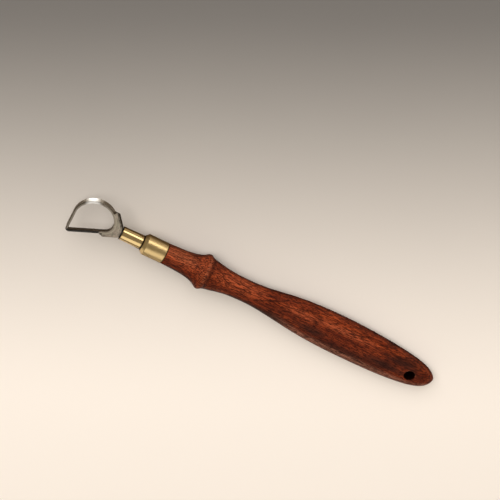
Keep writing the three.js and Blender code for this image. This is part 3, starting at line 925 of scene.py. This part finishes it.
def dressed_braze():
    """Silver braze filed flush with the yoke, a touch yellower."""
    braze = Finish("dressed_braze", Metallic=1.0)
    shade = settings().colours.braze
    mottle = braze.noise(0.9, detail=4)
    grit = braze.noise(4.5, detail=4, roughness=0.7)
    braze.ground(mottle, toned(shade, 0.8), toned(shade, 1.12))
    braze.coat(braze.between(grit, 0.6, 0.75), toned(shade, 0.5), strength=0.4)
    braze.sheen(mottle, 0.4, 0.55)
    braze.emboss(grit, 0.015 * MM)
    return braze.done()


def turned_brass():
    """Polished brass: lathe rings, long hairlines from handling, and darker tarnish at the joints."""
    brass = Finish("turned_brass", Metallic=1.0)
    shade = settings().colours.brass
    x, y, z = brass.parts(brass.place)
    around = brass.times(brass.calculate("ARCTAN2", z, y), UNROLLED_RADIUS)
    unrolled = brass.flat_place(x, around)
    lathe = brass.noise((9.0, 0.12, 1.0), roughness=0.7, place=unrolled)
    hairlines = brass.noise((0.22, 7.0, 1.0), detail=4, roughness=0.65, place=unrolled)
    smears = brass.noise((0.18, 0.35, 0.35))
    ferrule_front = -settings().brass.ferrule_length
    neck_back = ferrule_front - SEAT_GAP
    joints = (0.0, ferrule_front, neck_back, BandPath().neck_front)
    from_joint = brass.extreme("MINIMUM", [brass.away_from(x, joint) for joint in joints])
    tarnish = brass.fading(from_joint, 0.0, TARNISH_REACH)
    tarnish = brass.times(tarnish, brass.between(smears, 0.2, 0.6, 0.3, 0.8))
    satin = brass.between(x, neck_back, ferrule_front)
    joint_line = brass.fading(from_joint, JOINT_LINE_FROM, JOINT_LINE_TO)
    brass.ground(smears, toned(shade, 0.88), toned(shade, 1.05))
    brass.coat(satin, toned(shade, 0.66), strength=0.25)
    brass.coat(brass.between(hairlines, 0.55, 0.72), toned(shade, 0.6), strength=0.35)
    brass.coat(tarnish, toned(shade, *TARNISH_TINT))
    brass.coat(joint_line, toned(shade, 0.04), strength=0.9)
    brass.sheen(smears, 0.14, 0.21)
    brass.roughen(brass.between(hairlines, 0.5, 0.7), 0.06)
    brass.roughen(tarnish, 0.2)
    brass.roughen(satin, 0.16)
    brass.emboss(lathe, 0.0025 * MM, strength=0.5)
    brass.emboss(hairlines, 0.003 * MM, strength=0.5)
    return brass.done()


def growth_lines(wood):
    """Dark late wood of growth rings that run along the handle, with the pith below it."""
    drift = wood.noise((0.012, 0.05, 0.05), detail=1)
    wander = wood.noise((0.06, 0.3, 0.3), detail=2)
    x, y, z = wood.parts(wood.stretched(wood.place, 1.0))
    aside = wood.calculate("ADD", y, PITH_ASIDE)
    above = wood.calculate("MULTIPLY_ADD", x, PITH_SLOPE, wood.calculate("ADD", z, PITH_BELOW))
    growth = wood.vector("LENGTH", wood.flat_place(aside, above))
    growth = wood.calculate("MULTIPLY_ADD", drift, RING_DRIFT, growth)
    growth = wood.calculate("MULTIPLY_ADD", wander, RING_WANDER, growth)
    phase = wood.calculate("FRACT", wood.times(growth, RINGS_PER_MM))
    late = wood.between(phase, LATE_WOOD_FROM, LATE_WOOD_TO)
    return wood.times(late, wood.fading(phase, LATE_WOOD_TO, 1.0))


def patch(wood, x, y, along, across, place=None):
    """A soft long patch on the wood, its place and reach in millimetres."""
    return wood.spot((x * MM, y * MM, 0.0), (along * MM, across * MM, PATCH_DEPTH * MM), place)


def patches(wood, places):
    """Several soft patches as one."""
    return wood.extreme("MAXIMUM", [patch(wood, *place) for place in places])


def dark_line(wood, x, y, end_x, end_y):
    """A thin dark streak between two places on the wood, in millimetres."""
    middle = ((x + end_x) / 2, (y + end_y) / 2)
    turned = wood.fed("ShaderNodeVectorRotate", wood.place, rotation_type="Z_AXIS")
    turned.inputs["Center"].default_value = (middle[0] * MM, middle[1] * MM, 0.0)
    turned.inputs["Angle"].default_value = -math.atan2(end_y - y, end_x - x)
    reach = math.hypot(end_x - x, end_y - y) * LINE_SPREAD
    return patch(wood, *middle, reach, LINE_HALF, turned.outputs[0])


def painted_hole_shade(wood):
    """Painted shade inside the hanging hole, fading out just round its mouth."""
    radius = settings().handle.hole_radius
    away = wood.vector("SUBTRACT", wood.place, hole_centre())
    away = wood.vector("MULTIPLY", away, (1.0, 1.0, 0.0))
    return wood.fading(wood.vector("LENGTH", away), radius, radius + HOLE_SHADE_FADE)


def collar_highlight_and_shade(wood, along):
    """The painted highlight on the collar's crest, and the painted shade in the crease behind it."""
    from_crest, from_crease = (
        wood.away_from(along, place) for place in (COLLAR_AT, COLLAR_AT + COLLAR_CREASE)
    )
    crest = wood.fading(from_crest, LINE_AT_COLLAR, CREST_HIGHLIGHT_REACH)
    return crest, wood.fading(from_crease, LINE_AT_COLLAR, CREASE_SHADE_REACH)


def edge_shade_and_reflection(wood, along, streaks):
    """Painted shade on the edge on the arch side, and a painted reflection that lightens the paddle's
    edge on the strip side.
    """
    __, aside, up = wood.facing()
    upper = wood.times(wood.between(aside, 0.2, 0.6), wood.fading(up, -0.3, 0.25))
    lower = wood.between(along, LOWER_EDGE_FROM, LOWER_EDGE_TO)
    for share in (
        wood.fading(aside, -0.16, -0.02),
        wood.between(aside, -0.95, -0.78, 0.25, 1.0),
        wood.between(streaks, 0.3, 0.6, 0.95, 0.6),
    ):
        lower = wood.times(lower, share)
    return upper, lower


def oiled_rosewood():
    """Oiled red-brown hardwood: growth lines, streaks, pores, darker figure and a soft sheen, with
    painted shade, highlights, sheen and edge reflection.
    """
    wood = Finish("oiled_rosewood", Specular_IOR_Level=0.06)
    colours = settings().colours
    light, mid, dark = map(tuple, (colours.wood_light, colours.wood_mid, colours.wood_dark))
    streaks = wood.noise((0.05, 0.8, 0.8), detail=5, roughness=0.7)
    fibres = wood.noise((0.2, 2.6, 2.6), roughness=0.6)
    pores = wood.between(wood.noise((0.36, 2.2, 2.2), roughness=0.6), 0.52, 0.58)
    zones = wood.noise((0.03, 0.16, 0.16), detail=2, distortion=0.3)
    smoky_figure_and_shade = wood.times(patches(wood, DARK_FIGURE_AND_SHADE), wood.between(streaks, 0.3, 0.6, 0.75, 1.0))
    bright_figure_and_highlight = wood.times(patches(wood, BRIGHT_FIGURE_AND_HIGHLIGHT), wood.between(streaks, 0.35, 0.65, 1.0, 0.4))
    painted_sheen = wood.times(patches(wood, SHEEN_PATCHES), wood.between(streaks, 0.3, 0.6, 0.8, 0.4))
    lines = wood.extreme("MAXIMUM", [dark_line(wood, *line) for line in DARK_LINES])
    along = wood.parts(wood.place)[0]
    crest, crease_shade = collar_highlight_and_shade(wood, along)
    upper_edge_shade, lower_edge_reflection = edge_shade_and_reflection(wood, along, streaks)
    wood.ground(wood.between(streaks, 0.34, 0.66), light, mid)
    wood.coat(wood.between(zones, 0.42, 0.62, 0.22, 0.6), mid)
    # Brighter figure, partly a painted highlight
    wood.coat(bright_figure_and_highlight, toned(light, *BRIGHT_AND_HIGHLIGHT_TINT), strength=0.85)
    # Darker figure, partly painted shade
    wood.coat(smoky_figure_and_shade, toned(dark, *SMOKE_AND_SHADE_TINT), strength=0.94)
    # Painted sheen
    wood.coat(painted_sheen, toned(light, *SHEEN_TINT))
    # Painted reflection on the paddle's lower edge
    wood.coat(lower_edge_reflection, toned(light, *LOWER_EDGE_REFLECTION_TINT))
    # Painted highlight on the collar's crest
    wood.coat(crest, toned(light, *CREST_HIGHLIGHT_TINT), strength=0.4)
    # Painted shade in the collar's crease and on the upper edge, then dark grain lines, growth lines,
    # fibres and pores
    for share, strength in (
        (crease_shade, 0.45),
        (upper_edge_shade, 0.7),
        (lines, 0.8),
        (growth_lines(wood), 0.3),
        (wood.between(fibres, 0.44, 0.6), 0.75),
        (pores, 0.8),
    ):
        wood.coat(share, dark, strength)
    # Painted shade inside the hanging hole
    wood.coat(painted_hole_shade(wood), (0.0, 0.0, 0.0), strength=0.96)
    wood.sheen(fibres, 0.42, 0.54)
    wood.roughen(pores, 0.15)
    wood.emboss(wood.calculate("SUBTRACT", wood.times(fibres, 0.35), pores), 0.05 * MM)
    return wood.done()


def drawn_rod():
    """Plain drawn steel of the shank, with lengthwise lines."""
    rod = Finish("drawn_rod", Metallic=1.0)
    lines = rod.noise((0.2, 6.0, 6.0), detail=4, roughness=0.6)
    stain = rod.noise((0.5, 0.8, 0.8))
    rod.ground(stain, (0.22, 0.21, 0.19), (0.5, 0.49, 0.46))
    rod.coat(rod.between(lines, 0.5, 0.7), (0.15, 0.14, 0.13), strength=0.4)
    rod.sheen(stain, 0.35, 0.5)
    rod.emboss(lines, 0.005 * MM)
    return rod.done()


def amber_glue():
    """Cured amber adhesive, cloudy, with small bubbles."""
    glue = Finish("amber_glue", Specular_IOR_Level=0.5)
    cloud = glue.noise((0.4, 0.6, 0.6), detail=4)
    glue.ground(cloud, (0.62, 0.45, 0.2), (0.75, 0.62, 0.36))
    glue.sheen(cloud, 0.3, 0.5)
    glue.emboss(glue.noise(2.2, detail=2), 0.03 * MM, strength=0.5)
    return glue.done()


# Pieces


class LOOPTOOL_OT_cutting_loop(bpy.types.Operator):
    """Make the bent steel strip with its rounded front rim and ground back edge"""

    bl_idname = "looptool.cutting_loop"
    bl_label = "Cutting Loop"

    def execute(self, context):
        path = BandPath()
        mesh = swept("cutting_loop_fine", path.whole(BUTT_GAP / 2), band_section(path))
        make_piece("cutting_loop_fine", mesh, polished_steel(path), "loop_steel", "cutting_loop")
        return {"FINISHED"}


def arm_start(path, seat_offset):
    """The line that the long arm's inner end follows, and where it leaves the seat."""
    lean = np.array([path.face, path.face + settings().loop.arm_width])
    away = path.arm_root - path.arch_centre
    a = lean @ lean
    b = 2 * away @ lean
    c = away @ away - (path.arch_radius + seat_offset) ** 2
    share = (-b + math.sqrt(b * b - 4 * a * c)) / (2 * a)
    return lean, path.arm_root + share * lean


def arm_side_ends(path):
    """The ends of the long arm's straight outer side."""
    rise = path.face + settings().loop.arm_width
    outer_top = path.arm_root + np.array([path.face + UPPER_ARM_TIP, rise])
    half = YOKE_SHOULDER / 2
    return outer_top, np.array([path.yoke_back - half, YOKE_BACK_UPPER + half])


def yoke_nose(path, seat_offset):
    """The short arm's outer end, from its corner to the seat, and how thick it is there."""
    corner = path.beside_strip(LOWER_ARM_CORNER, path.face + LOWER_ARM_WIDTH)
    halfway = (LOWER_ARM_CORNER + LOWER_ARM_REACH) / 2
    pull = path.beside_strip(halfway, path.face + LOWER_ARM_WIDTH / 4)
    nose = quadratic(corner, pull, path.beside_strip(LOWER_ARM_REACH, path.face), OUTLINE_STEPS)
    nose = nose[path.off_strip(nose) > seat_offset]
    nose = nose[np.linspace(0, len(nose) - 1, TOE_STEPS).astype(int)]
    return nose, path.off_strip(nose) - seat_offset


def yoke_outline(path, height):
    """The yoke's outline at a height, and each corner's share of the edge rounding."""
    seat_offset = path.face + settings().loop.braze_film
    lean, start = arm_start(path, seat_offset)
    outer_top, shoulder = arm_side_ends(path)
    level = outer_top[1] - (path.front - height) * math.tan(ARM_TIP_SLOPE)
    drop = (outer_top[1] - level) / (outer_top[1] - shoulder[1])
    outer_tip = outer_top + (shoulder - outer_top) * drop
    back_corner = np.array([path.yoke_back, YOKE_BACK_UPPER])
    back_top = np.array([path.yoke_back, YOKE_BACK_UPPER - YOKE_SHOULDER])
    back_low = np.array([[path.yoke_back, -YOKE_BACK_LOWER]])
    nose, thickness = yoke_nose(path, seat_offset)
    reach = -(nose[-1] - path.heel_centre) @ towards(STRIP_ANGLE)
    cut_turn = math.asin((level - path.arch_centre[1]) / (path.arch_radius + seat_offset))
    line, out = path.seat(min(turn_of(start - path.arch_centre), cut_turn), reach)
    seat = (line + out * seat_offset)[::-1]
    if level > start[1]:
        inner_tip = path.arm_root + lean * (level - path.arm_root[1]) / lean[1]
    else:
        inner_tip = seat[-1] + (outer_tip - seat[-1]) / STRAIGHT_STEPS
    arm = np.linspace(outer_tip, shoulder, STRAIGHT_STEPS)[:-1]
    turn = quadratic(shoulder, back_corner, back_top, TOE_STEPS)
    outline = np.vstack([seat, inner_tip[None, :], arm, turn, back_low, nose[:-1]])
    shares = np.ones(len(outline))
    shares[: len(seat) + 1] = 0.0
    shares[1 - len(nose) :] = np.clip(thickness[:-1] / YOKE_EASE / 2, 0, 1)
    return outline, shares


class LOOPTOOL_OT_yoke(bpy.types.Operator):
    """Make the saddle yoke with its sloping arm tip, eased edges and socket"""

    bl_idname = "looptool.yoke"
    bl_label = "Saddle Yoke"

    def execute(self, context):
        path = BandPath()
        low = [(down - path.front, inset) for inset, down in rounding(YOKE_EASE, EASE_STEPS)[::-1]]
        high = [(-height, inset) for height, inset in low[::-1]]
        rows = []
        for height, inset in low + high:
            outline = drawn_in(*yoke_outline(path, height), inset)
            rows.append(np.column_stack([outline, np.full(len(outline), height)]))
        plate = mesh_from("loop_yoke_fine", *lofted(rows))
        ends = [(path.yoke_back + deep, SPIGOT_RADIUS) for deep in (-SPIGOT_DEPTH, SPIGOT_DEPTH)]
        mesh = cut_away(plate, mesh_from("socket", *lofted(rings(ends, HEEL_STEPS))))
        make_piece("loop_yoke_fine", mesh, satin_steel(path), "yoke_steel", "loop_yoke")
        return {"FINISHED"}


class LOOPTOOL_OT_braze(bpy.types.Operator):
    """Make the braze that fills the seat and the butt between the strip's ends"""

    bl_idname = "looptool.braze"
    bl_label = "Seat Braze"

    def execute(self, context):
        path = BandPath()
        loop = settings().loop
        near = path.face + FILL_GAP
        far = path.face + loop.braze_film - FILL_GAP
        top = path.front - FILL_GAP
        rounded = rounding(loop.rim_radius, RIM_STEPS, FILM_RIM_TURN, 0.0)
        hollow = [(near - inward, top - down) for inward, down in rounded]
        section = np.array([(near, -top), (far, -top), (far, top)] + hollow)
        __, start = arm_start(path, path.face + loop.braze_film)
        seat = path.seat(turn_of(start - path.arch_centre), LOWER_ARM_CORNER)
        film = swept("seat_braze_fine", seat, section)
        rib = swept("rib", path.butt(BUTT_GAP / 2 - FILL_GAP), band_section(path))
        shape = bmesh.new()
        shape.from_mesh(film)
        shape.from_mesh(rib)
        shape.to_mesh(film)
        shape.free()
        make_piece("seat_braze_fine", smooth(film), dressed_braze(), "silver_braze", "seat_braze")
        return {"FINISHED"}


class LOOPTOOL_OT_brass(bpy.types.Operator):
    """Turn the brass neck and the ferrule"""

    bl_idname = "looptool.brass"
    bl_label = "Brass Neck and Ferrule"

    def execute(self, context):
        sizes = settings().brass
        finish = turned_brass()
        front = -sizes.ferrule_length
        neck_back = front - SEAT_GAP
        neck_front = neck_back - sizes.neck_length
        bore = SHANK_RADIUS + SLIDE_GAP
        spigot_end = front + NECK_SPIGOT_LENGTH
        neck = [
            (neck_front, bore),
            (neck_front, sizes.neck_front_radius),
            (neck_back, sizes.neck_back_radius),
            (neck_back, NECK_SPIGOT_RADIUS),
            (spigot_end, NECK_SPIGOT_RADIUS),
            (spigot_end, bore),
        ]
        floor = front + FERRULE_FRONT_WALL
        ferrule = [
            (front, NECK_SPIGOT_RADIUS + SLIDE_GAP),
            (front, sizes.ferrule_radius - sizes.ferrule_chamfer),
            (front + sizes.ferrule_chamfer + TURNED_EASE, sizes.ferrule_radius),
            (0.0, sizes.ferrule_radius),
            (0.0, TENON_RADIUS + SLIDE_GAP),
            (floor, TENON_RADIUS + SLIDE_GAP),
            (floor, NECK_SPIGOT_RADIUS + SLIDE_GAP),
        ]
        for node, profile in (("brass_neck", neck), ("brass_ferrule", ferrule)):
            rows = rings(eased(profile, TURNED_EASE), TURNED_SIDES)
            faces = grid_faces(len(rows), TURNED_SIDES, closed=True)
            mesh = mesh_from(node + "_fine", np.vstack(rows), faces)
            make_piece(node + "_fine", mesh, finish, "brass", node)
        return {"FINISHED"}


# Handle


def step_between(x, start, end):
    """0 before start, 1 after end and smooth between them."""
    t = np.clip((x - start) / (end - start), 0, 1)
    return t * t * (3 - 2 * t)


def cubic(corners):
    """Points on a curve through its first and last corners."""
    a, b, c, d = (np.array(corner, float) for corner in corners)
    t = np.linspace(0, 1, OUTLINE_STEPS)[:, None]
    return (1 - t) ** 3 * a + 3 * t * (1 - t) ** 2 * b + 3 * t * t * (1 - t) * c + t**3 * d


def side_path(waist, widest, widest_at, fullness):
    """One side of the handle's plan: flare, collar rim, drop, waist, paddle and nose."""
    sizes = settings().handle
    front = (SEAT_GAP, settings().brass.ferrule_radius - WOOD_INSET)
    lead = (COLLAR_AT - COLLAR_LEAD, sizes.collar_radius - COLLAR_LEAD_DROP)
    trail = (COLLAR_AT + COLLAR_TRAIL, sizes.collar_radius - COLLAR_TRAIL_DROP)
    foot = (trail[0] + DROP_LENGTH, trail[1] - DROP_DEPTH)
    slimmest = (WAIST_AT, waist)
    broadest = (widest_at, widest)
    tip = (sizes.handle_length, 0.0)
    crest_from = (COLLAR_AT - COLLAR_LEAD / 2, sizes.collar_radius)
    crest_to = (COLLAR_AT + COLLAR_TRAIL / 2, sizes.collar_radius)
    drop_from = (trail[0] + DROP_LENGTH / 10, trail[1] - DROP_DEPTH / 2)
    drop_to = (foot[0] - DROP_LENGTH / 3, foot[1] + DROP_DEPTH / 6)
    after_foot = (foot[0] + DROP_PULL, foot[1] - DROP_PULL / 6)
    curves = [
        (front, (FLARE_HOLD, FLARE_RADIUS), (COLLAR_AT - FLARE_PULL, FLARE_RADIUS), lead),
        (lead, crest_from, crest_to, trail),
        (trail, drop_from, drop_to, foot),
        (foot, after_foot, (WAIST_AT - WAIST_PULL, waist), slimmest),
        (slimmest, (WAIST_AT + WAIST_RUN, waist), (widest_at - PADDLE_RUN, widest), broadest),
        (broadest, (widest_at + NOSE_RUN, widest), (sizes.handle_length, fullness), tip),
    ]
    return np.vstack([cubic(curve) for curve in curves])


def handle_places():
    """Where the fine sections stand: close at the collar and the nose."""
    back = COLLAR_AT + COLLAR_TRAIL + COLLAR_SETTLE
    nose_start = settings().handle.handle_length - NOSE_ROLL
    lead = COLLAR_AT - COLLAR_LEAD
    marks = (SEAT_GAP, COLLAR_AT - FLARE_PULL, lead, back, back + DROP_PULL, FLAT_START, nose_start)
    stretches = [
        np.linspace(start, end, count, endpoint=False)
        for start, end, count in zip(marks, marks[1:], HANDLE_SECTIONS)
    ]
    turns = np.linspace(0, math.pi / 2, NOSE_SECTIONS, endpoint=False)
    return np.concatenate(stretches + [nose_start + NOSE_ROLL * np.sin(turns)])


def soft_lower(first, second, ease):
    """The lower of two heights, rounded where they meet."""
    near = np.maximum(ease - np.abs(first - second), 0) / ease
    return np.minimum(first, second) - near * near * ease / 4


def handle_section(x, upper_side, lower_side):
    """Points round the handle at one place along it."""
    sizes = settings().handle
    turns = 2 * math.pi * np.arange(HANDLE_SIDES) / HANDLE_SIDES
    upper, lower = (np.interp(x, side[:, 0], side[:, 1]) for side in (upper_side, lower_side))
    back = COLLAR_AT + COLLAR_TRAIL + COLLAR_SETTLE
    crested = WAIST_CRESTING * step_between(x, back, WAIST_AT - WAIST_PULL)
    broad = PADDLE_BREADTH * step_between(x, WAIST_AT + PADDLE_SWELL_FROM, FLAT_START)
    squared = PADDLE_SQUARENESS * step_between(x, back, FLAT_START)
    waist = step_between(x, back, WAIST_AT)
    paddle = step_between(x, WAIST_AT, FLAT_START)
    crest = (upper + lower) / 2 * (1 - waist) + sizes.waist_half * waist
    crest = crest * (1 - paddle) + sizes.paddle_crown * paddle
    nose_share = max(0.0, (x - sizes.handle_length + NOSE_ROLL) / NOSE_ROLL)
    crest *= math.sqrt(max(0.0, 1 - nose_share**2))
    across = np.cos(turns)
    up = np.sin(turns)
    half = np.where(across >= 0, upper, lower)
    width = half * np.sign(across) * np.abs(across) ** (2 / (2 - crested + broad))
    height = crest * np.abs(up) ** (2 / (2 + squared))
    run_out = max(0.0, FLAT_START - x)
    flat = sizes.flat_half + FLAT_RUN_OUT_RADIUS - math.sqrt(FLAT_RUN_OUT_RADIUS**2 - run_out**2)
    height = soft_lower(height, flat, FLAT_EASE * (1 - nose_share))
    return np.column_stack([np.full(HANDLE_SIDES, x), width, np.sign(up) * np.maximum(height, 0)])


def hanging_hole():
    """A cutter with a rounded mouth at each face."""
    sizes = settings().handle
    radius, deep = sizes.hole_radius, sizes.flat_half
    rounded = rounding(HOLE_RIM_EASE, EASE_STEPS)
    mouth = [(deep - down, radius + inward) for inward, down in rounded]
    mouth.append((deep + HOLE_RIM_EASE, radius + HOLE_RIM_EASE * 2))
    profile = [(-height, around) for height, around in mouth[::-1]] + mouth
    points, faces = lofted(rings(profile, TURNED_SIDES))
    return mesh_from("hole", np.roll(points, -1, axis=1) + hole_centre(), faces)


class LOOPTOOL_OT_handle(bpy.types.Operator):
    """Shape the handle: tenon, bore, collar, crested waist, sanded paddle and hanging hole"""

    bl_idname = "looptool.handle"
    bl_label = "Wooden Handle"

    def execute(self, context):
        sizes = settings().handle
        upper = side_path(sizes.waist_upper, sizes.paddle_upper, PADDLE_UPPER_AT, NOSE_FULLNESS_UPPER)
        lower = side_path(sizes.waist_lower, sizes.paddle_lower, PADDLE_LOWER_AT, NOSE_FULLNESS_LOWER)
        tenon_front = -settings().brass.ferrule_length + FERRULE_FRONT_WALL + SEAT_GAP
        bore_end = SEAT_GAP + SHANK_IN_WOOD + SHANK_BORE_SPARE
        inner = [
            (bore_end, SHANK_BORE_RADIUS),
            (tenon_front, SHANK_BORE_RADIUS),
            (tenon_front, TENON_RADIUS - HOLE_RIM_EASE),
            (tenon_front + HOLE_RIM_EASE, TENON_RADIUS),
            (SEAT_GAP, TENON_RADIUS),
        ]
        rows = rings(inner, HANDLE_SIDES)
        rows += [handle_section(x, upper, lower) for x in handle_places()]
        faces = grid_faces(len(rows), HANDLE_SIDES, closed=False)
        bore_tip = len(rows) * HANDLE_SIDES
        last = bore_tip - HANDLE_SIDES
        for side in range(HANDLE_SIDES):
            after = (side + 1) % HANDLE_SIDES
            faces.append((bore_tip, after, side))
            faces.append((bore_tip + 1, last + side, last + after))
        poles = [(bore_end + SHANK_BORE_RADIUS, 0, 0), (sizes.handle_length, 0, 0)]
        body = mesh_from("handle_fine", np.vstack(rows + [poles]), faces)
        mesh = cut_away(body, hanging_hole())
        make_piece("handle_fine", mesh, oiled_rosewood(), "rosewood", "handle")
        return {"FINISHED"}


class LOOPTOOL_OT_inner_parts(bpy.types.Operator):
    """Finish the shank and the cured adhesive, which keep their CAD shapes"""

    bl_idname = "looptool.inner_parts"
    bl_label = "Shank and Adhesive"

    def execute(self, context):
        dress(frame["nodes"]["shank"], drawn_rod())
        dress(frame["nodes"]["shank_adhesive"], amber_glue())
        return {"FINISHED"}


# Stage


def lamp(name, towards_it, distance, size, brightness, tint):
    """A soft rectangular lamp in a direction from the tool; at brightness 1 its face looks white."""
    light = bpy.data.lights.new(name, "AREA")
    light.shape = "RECTANGLE"
    light.size, light.size_y = size
    light.energy = brightness * math.pi * size[0] * size[1]
    light.color = tint
    holder = placed(name, light)
    direction = Vector(towards_it).normalized()
    holder.location = direction * distance
    holder.rotation_euler = direction.to_track_quat("Z", "Y").to_euler()
    return holder


def plane(name, low, high, height, material):
    """A flat rectangle of the stage."""
    corners = [(low[0], low[1]), (high[0], low[1]), (high[0], high[1]), (low[0], high[1])]
    mesh = bpy.data.meshes.new(name)
    mesh.from_pydata([(x, y, height) for x, y in corners], [], [(0, 1, 2, 3)])
    mesh.materials.append(material)
    sheet = placed(name, mesh)
    return sheet


def floor_finish():
    """Plain pale floor, a little greyer behind the tool, where a light falloff is painted."""
    colours = settings().colours
    floor = Finish("pale_floor", Specular_IOR_Level=0.2)
    cloud = floor.noise(0.009)
    away = floor.along((0.0, 0.0), FLOOR_AWAY)
    away = floor.calculate("MULTIPLY_ADD", cloud, FLOOR_CLOUDING, away)
    share = floor.between(away, FLOOR_PALE_TO, FLOOR_GREY_FROM)
    share = floor.calculate("SMOOTH_MIN", share, FLOOR_GREYEST, FLOOR_LEVELLING)
    floor.ground(share, tuple(colours.floor_near), tuple(colours.floor_far))
    floor.rough = FLOOR_ROUGHNESS
    floor.emboss(floor.noise(0.9, detail=2), 0.02 * MM, strength=0.3)
    return floor.done()


def card_finish(name, first, second, glow):
    """Plain card of a softly uneven colour, lit from within where it glows."""
    card = Finish(name, Specular_IOR_Level=0.0, Emission_Strength=glow)
    card.feed(card.shader.inputs["Emission Color"], second)
    cloud = card.noise((0.05, 0.12, 0.1))
    card.ground(cloud, first, second)
    card.rough = 1.0
    card.emboss(cloud, 0.1 * MM, strength=0.1)
    return card.done()


def reflector(name, finish, low, high, height):
    """A card on the floor that only the tool's metal and gloss mirror."""
    joint = tool_frame().translation
    ends = [(joint.x + x * MM, joint.y + y * MM) for x, y in (low, high)]
    card = plane(name, *ends, height * MM, finish)
    for seen_by in ("camera", "diffuse", "transmission", "shadow"):
        setattr(card, "visible_" + seen_by, False)


def light_room(scene):
    """Even light from all sides."""
    world = bpy.data.worlds.new("room")
    world.use_nodes = True
    room = world.node_tree.nodes["Background"]
    room.inputs["Color"].default_value = (*ROOM_LIGHT, 1.0)
    scene.world = world


def place_camera(scene):
    """A long lens at the photo's viewing angle."""
    camera = bpy.data.cameras.new("camera")
    camera.lens = CAMERA_LENS
    camera.sensor_width = CAMERA_SENSOR
    camera.clip_start = CAMERA_CLIP
    holder = placed("camera", camera)
    axes = Matrix((CAMERA_RIGHT, CAMERA_UP, CAMERA_BACK)).transposed().to_4x4()
    holder.matrix_world = tool_frame() @ Matrix.Translation(CAMERA_PLACE) @ axes
    scene.camera = holder


class LOOPTOOL_OT_stage(bpy.types.Operator):
    """Set the floor, the soft lamps, the cards that the metal mirrors and the camera"""

    bl_idname = "looptool.stage"
    bl_label = "Stage"

    def execute(self, context):
        low, high = (-FLOOR_REACH, -FLOOR_REACH), (FLOOR_REACH, FLOOR_REACH)
        plane("floor", low, high, 0.0, floor_finish())
        finishes = {name: card_finish(name, *look) for name, *look in CARD_FINISHES}
        for name, finish, *place in CARDS:
            reflector(name, finishes[finish], *place)
        for name, *light in SOFTBOXES:
            lamp(name, *light).visible_diffuse = False
        lamp("key", *KEY_LIGHT).visible_glossy = False
        light_room(context.scene)
        place_camera(context.scene)
        context.scene.view_settings.view_transform = "Standard"
        return {"FINISHED"}


OPERATORS = (
    LOOPTOOL_OT_cutting_loop,
    LOOPTOOL_OT_yoke,
    LOOPTOOL_OT_braze,
    LOOPTOOL_OT_brass,
    LOOPTOOL_OT_handle,
    LOOPTOOL_OT_inner_parts,
    LOOPTOOL_OT_stage,
)


class LOOPTOOL_PT_panel(bpy.types.Panel):
    """Sizes, colours and steps of the loop tool"""

    bl_idname = "LOOPTOOL_PT_panel"
    bl_label = "Pottery Loop Tool"
    bl_space_type = "VIEW_3D"
    bl_region_type = "UI"
    bl_category = "Loop Tool"

    def draw(self, context):
        layout = self.layout
        tool = context.scene.loop_tool
        for group in (tool.loop, tool.brass, tool.handle, tool.colours):
            box = layout.box()
            for name in group.__annotations__:
                box.prop(group, name)
        for operator in OPERATORS:
            layout.operator(operator.bl_idname)


CLASSES = (
    LoopSizes,
    BrassSizes,
    HandleSizes,
    ToolColours,
    ToolSettings,
    *OPERATORS,
    LOOPTOOL_PT_panel,
)


def register():
    for item in CLASSES:
        bpy.utils.register_class(item)
    bpy.types.Scene.loop_tool = bpy.props.PointerProperty(type=ToolSettings)


def unregister():
    del bpy.types.Scene.loop_tool
    for item in reversed(CLASSES):
        bpy.utils.unregister_class(item)


def main():
    register()
    bpy.ops.looptool.cutting_loop()
    bpy.ops.looptool.yoke()
    bpy.ops.looptool.braze()
    bpy.ops.looptool.brass()
    bpy.ops.looptool.handle()
    bpy.ops.looptool.inner_parts()
    bpy.ops.looptool.stage()


if __name__ == "__main__":
    main()
